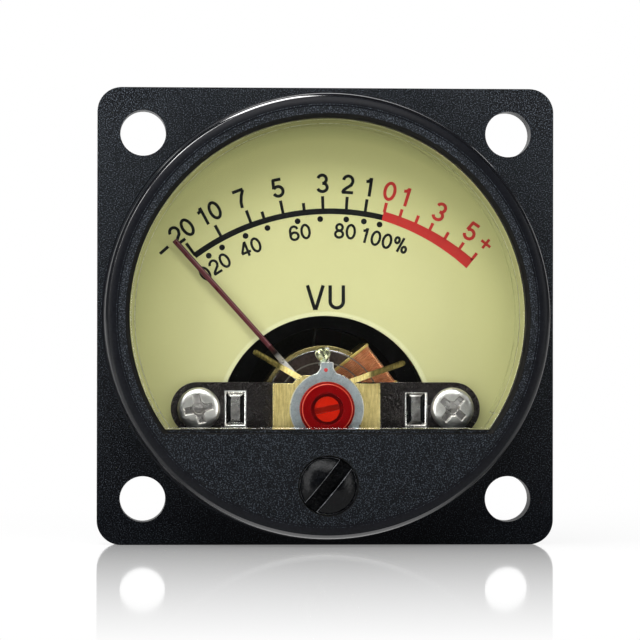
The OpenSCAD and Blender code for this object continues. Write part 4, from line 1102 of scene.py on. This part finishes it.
# Painted shade: the colour darkens and the reflection weakens towards the bottom, on the bezel's face less
# than on the flange.
how_low = front_black.spread(front_black.axis("Z"), 4 * mm, -20 * mm)
how_far = front_black.spread(front_black.axis("Y"), -5 * mm, -3.2 * mm)
painted_shade_low = front_black.reckon("MULTIPLY", how_low, front_black.ramp(how_far, (0.0, 0.65), (1.0, 1.0)))
front_black.shade(
    Base_Color=front_black.mixed(
        front_black.ramp(painted_shade_low, (0.0, 0.0), (1.0, 0.75)), grain_and_painted_glints, (0.001, 0.0013, 0.002, 1)),
    Roughness=front_black.ramp(dust, (0.3, 0.34), (0.7, 0.46)),
    Specular_IOR_Level=front_black.ramp(painted_shade_low, (0.0, 0.3), (1.0, 0.06)),
    Normal=front_black.bump(sparks, 0.5, 0.03 * mm),
)
polished_black = moulded_black(
    "polished_black", grain=4200.0, depth=0.004 * mm, dark=(0.003, 0.0035, 0.005),
    pale=(0.007, 0.008, 0.01), roughness=0.1, shine=0.16)
# Painted shadow: a near-black skin for the window's edges and the mask's straight edge.
painted_window_shadow = coloured_skin(
    "window_edge_painted_shadow", (0.001, 0.001, 0.0008), (0.005, 0.0045, 0.003), 0.6, grain=2500.0, shine=0.15)
# Painted highlight: a pale skin for the flange rim's rounds that face left and down.
painted_rim_highlight = coloured_skin("painted_rim_highlight", (0.3, 0.3, 0.29), (0.6, 0.59, 0.57), 0.3, grain=2200.0)


def from_axis(p):
    """How far a place in millimetres is from the bezel's axis."""
    return math.hypot(p.x, p.z)


def at_mask_edge(p):
    """Whether a place is on the straight front edge of the mask, under the window."""
    return -11.6 < p.z < -11.2 and p.y < -8.1 and abs(p.x) < 15.4


def at_flange_rim(p):
    """Whether a place is on the outer front edge of the flange."""
    return -3.1 < p.y < -2.9 and max(abs(p.x), abs(p.z)) > 21.9


front = copy_of("front_case")
dress(front, front_black.material, polished_black, painted_window_shadow, painted_rim_highlight)
# The mask's straight edge and the window's inner edges are rounded with the painted shadow skin.
round_edges(front, 0.42 * mm, at_mask_edge, segments=5, angle=25, slot=2)
round_edges(front, 0.1 * mm, lambda p: from_axis(p) < 20 and p.y < -6.8, segments=2, angle=25, slot=2)
round_edges(front, 0.3 * mm, at_flange_rim, segments=5, slot=1)
for face in front.data.polygons:
    middle = face.center / mm
    in_window = middle.y < -7.0 and from_axis(middle) < 19.8 and middle.z > -11.6
    # Painted highlight: the rim's rounds facing left or down get the pale skin.
    if face.material_index == 1 and (face.normal.x < -0.7 or face.normal.z < -0.93):
        face.material_index = 3
    # Painted shadow on the window's edge faces.
    if in_window and abs(face.normal.y) < 0.95:
        face.material_index = 2
smooth(front, angle=40)


def arc_down(start, height, radius, leans):
    """Points of a round that falls away outward, from the first lean to the last in degrees."""
    first = math.radians(leans[0])
    return [(start + radius * (math.sin(math.radians(t)) - math.sin(first)),
             height - radius * (math.cos(first) - math.cos(math.radians(t)))) for t in leans]


crown_start, crown_height = 20.4, 8.205
shoulder_radius, edge_radius, edge_tilt = 2.1, 0.75, 24
shoulder = arc_down(crown_start, crown_height, shoulder_radius, range(0, edge_tilt + 1, 3))
edge_start, edge_top = shoulder[-1]
edge_round = arc_down(edge_start, edge_top, edge_radius, range(edge_tilt, 91, 6))
drafted_wall = [(21.76, 6.2), (21.81, 5.0), (21.86, 3.8), (21.9, 3.12), (22.05, 3.0)]
hidden_back = [(21.0, 2.8), (crown_start, 5.0)]
edge_ring = spun("bezel_edge", shoulder + edge_round[1:] + drafted_wall + hidden_back, 240, closed=True)
edge_ring.data.transform(Matrix.Rotation(math.radians(90), 4, "X"))
polished_edge = Finish("polished_edge", (0.005, 0.006, 0.008))
edge_spots = polished_edge.specks(grain=4200.0, cloud=350.0, share=0.3)
# Painted highlight: gloss, reflection and coat are raised towards the top of the edge, and the coat also at
# its very bottom.
how_high = polished_edge.spread(polished_edge.axis("Z"), -21 * mm, 21 * mm)
polished_edge.shade(
    Base_Color=polished_edge.ramp(
        edge_spots["Mask"], (0.35, (0.003, 0.0035, 0.005)), (0.75, (0.007, 0.008, 0.01))),
    Roughness=polished_edge.ramp(how_high, (0.6, 0.42), (0.85, 0.1)),
    Specular_IOR_Level=polished_edge.ramp(how_high, (0.6, 0.15), (0.85, 0.45)),
    Coat_Weight=polished_edge.ramp(how_high, (0.01, 0.9), (0.12, 0.1), (0.5, 0.25), (0.78, 1.0)),
    Coat_IOR=2.0,
    Coat_Roughness=0.1,
    Normal=polished_edge.bump(edge_spots["Fine"], 0.5, 0.003 * mm),
)
wall_black = moulded_black(
    "wall_black", grain=4200.0, depth=0.006 * mm, dark=(0.003, 0.0035, 0.005), pale=(0.008, 0.009, 0.012),
    roughness=0.36, shine=0.1)
dress(edge_ring, wall_black, polished_edge.material)
wall_start = -6.5
for face in edge_ring.data.polygons:
    middle = face.center / mm
    if from_axis(middle) > edge_start + 0.05 and middle.y < wall_start:
        face.material_index = 1
smooth(edge_ring, angle=40)
front = join([front, edge_ring], "front_case_piece")
stands_for(front, "front_case")

# ---- Zero screw ----
# A domed black screw with a wide slot, made of a smoother plastic than the case. It is held
# behind the mask by a bright clip washer, and its eccentric pin moves the adjuster's fork.
zero = copy_of("zero_screw")
screw_black = moulded_black(
    "screw_black", grain=2400.0, depth=0.07 * mm, dark=(0.0005, 0.0007, 0.001), pale=(0.003, 0.0036, 0.0045),
    roughness=0.24, shine=0.13)
# Painted highlight: a pale-flecked skin on the rounds of the screw's front edges, the slot's among them.
painted_screw_highlight = coloured_skin("painted_screw_highlight", (0.004, 0.004, 0.005), (0.3, 0.31, 0.33), 0.3, grain=1400.0)
dress(zero, screw_black, painted_screw_highlight)
round_edges(zero, 0.16 * mm, lambda p: p.y < -7.75, segments=3, angle=25, slot=1)
smooth(zero, angle=40)
stands_for(zero, "zero_screw")
clip = copy_of("zero_screw_washer")
broken_edges(clip, 0.05 * mm)
dress(clip, bright_screw)
stands_for(clip, "zero_screw_washer")

# ---- Floor, backdrop, lights and camera ----
# A polished white table in front of a white backdrop, a soft box in front above, a tall one on
# each side and a small one right over the meter, and a camera level with the meter and a little
# to its left.
table_top = -22.5 * mm


def white_to_eye(finish, to_camera, to_mirrors):
    """Mixes a finish with plain white where the camera, or a mirror or lens, looks at it."""
    rays = finish.add("ShaderNodeLightPath").outputs
    camera_part = finish.reckon("MULTIPLY", rays["Is Camera Ray"], to_camera)
    seen_in = finish.reckon("MAXIMUM", rays["Is Glossy Ray"], rays["Is Transmission Ray"])
    share = finish.reckon("MAXIMUM", camera_part, finish.reckon("MULTIPLY", seen_in, to_mirrors))
    white = finish.add("ShaderNodeEmission", Color=(1, 1, 1, 1), Strength=1.0)
    blend = finish.add("ShaderNodeMixShader", Fac=share)
    finish.put(finish.shader.outputs[0], blend.inputs[1])
    finish.put(white.outputs[0], blend.inputs[2])
    finish.put(blend.outputs[0], finish.tree.nodes["Material Output"].inputs["Surface"])
    return finish.material


def sheet(name, size, place, turn):
    """A flat sheet that isn't part of the meter."""
    bpy.ops.object.select_all(action="DESELECT")
    bpy.ops.mesh.primitive_plane_add(size=1)
    plane = bpy.context.object
    plane.name = plane.data.name = name
    plane.data.transform(
        Matrix.Translation(place) @ Matrix.Rotation(math.radians(turn), 4, "X")
        @ Matrix.Diagonal((*size, 1, 1)))
    return plane


floor = sheet("floor", (2.4, 1.36), (0, 0.52, table_top), 0)
polish = Finish("white_table", (0.97, 0.97, 0.97))
depth = polish.spread(polish.axis("Y"), -0.12, 0.08)
fade = polish.ramp(depth, (0.0, 1.0), (0.3, 0.6), (0.58, 0.22), (0.66, 0.34), (1.0, 1.0))
off_middle = polish.reckon("ABSOLUTE", polish.axis("X"))
in_front = polish.reckon(
    "MULTIPLY", polish.ramp(depth, (0.5, 0.06), (0.56, 0.95)),
    polish.ramp(off_middle, (0.006, 1.0), (0.017, 0.12)))
behind = polish.ramp(depth, (0.6, 0.0), (0.63, 0.95))
mirrored = polish.reckon("MAXIMUM", in_front, behind)
far_aside = polish.ramp(off_middle, (0.04, 0.0), (0.16, 1.0))
slant = polish.add("ShaderNodeLayerWeight").outputs["Facing"]
polish.shade(
    Metallic=polish.ramp(slant, (0.72, 0.0), (0.88, 0.6)),
    Roughness=polish.ramp(slant, (0.72, 0.6), (0.88, 0.05)),
    Specular_IOR_Level=polish.ramp(slant, (0.72, 0.0), (0.88, 0.5)),
)
dress(floor, white_to_eye(polish, polish.reckon("MAXIMUM", fade, far_aside), mirrored))
backdrop = sheet("backdrop", (2.4, 2.4), (0, 1.2, 0), 90)
dress(backdrop, white_to_eye(Finish("white_backdrop", (0.8, 0.8, 0.8)), 1.0, 1.0))

world = bpy.data.worlds.new("studio")
bpy.context.scene.world = world
world.use_nodes = True
air = world.node_tree
path = air.nodes.new("ShaderNodeLightPath")
strength = air.nodes.new("ShaderNodeMapRange")
air.links.new(path.outputs["Is Camera Ray"], strength.inputs["Value"])
strength.inputs["To Min"].default_value = 0.03
strength.inputs["To Max"].default_value = 1.0
air.links.new(strength.outputs["Result"], air.nodes["Background"].inputs["Strength"])
air.nodes["Background"].inputs["Color"].default_value = (1, 1, 1, 1)


def soft_box(name, size, place, aim, power):
    """A square soft box that faces a point."""
    bpy.ops.object.light_add(type="AREA", location=place)
    box = bpy.context.object
    box.name = name
    box.data.shape = "RECTANGLE"
    box.data.size, box.data.size_y = size
    box.data.energy = power
    box.rotation_mode = "QUATERNION"
    box.rotation_quaternion = (Vector(place) - Vector(aim)).to_track_quat("Z", "Y")


soft_box("top_box", (0.2, 0.06), (-0.03, -0.105, 0.12), (0, 0, 0.005), 0.28)
soft_box("left_box", (0.1, 0.3), (-0.3, -0.22, 0.08), (0, 0, 0), 0.55)
soft_box("right_box", (0.1, 0.25), (0.32, -0.22, 0.05), (0, 0, 0), 0.38)
soft_box("over_box", (0.1, 0.08), (-0.045, -0.01, 0.2), (0, 0, 0), 0.22)

camera_distance = 356.37 * mm
frame_width = 63.581 * mm
camera_turn = math.radians(-3.1375)
camera_lift = math.radians(-0.3812)
camera_roll = math.radians(0.0934)
bpy.ops.object.camera_add()
camera = bpy.context.object
camera.data.sensor_width = 36
camera.data.lens = 36 * camera_distance / frame_width
camera.data.shift_x, camera.data.shift_y = -0.0065, -0.0055
back = Vector((
    math.sin(camera_turn) * math.cos(camera_lift),
    -math.cos(camera_turn) * math.cos(camera_lift),
    math.sin(camera_lift),
))
camera.location = back * camera_distance
camera.rotation_mode = "QUATERNION"
camera.rotation_quaternion = (-back).to_track_quat("-Z", "Y") @ Quaternion((0, 0, 1), camera_roll)
camera.data.clip_start, camera.data.clip_end = 0.01, 10
bpy.context.scene.camera = camera
bpy.context.scene.view_settings.view_transform = "Standard"
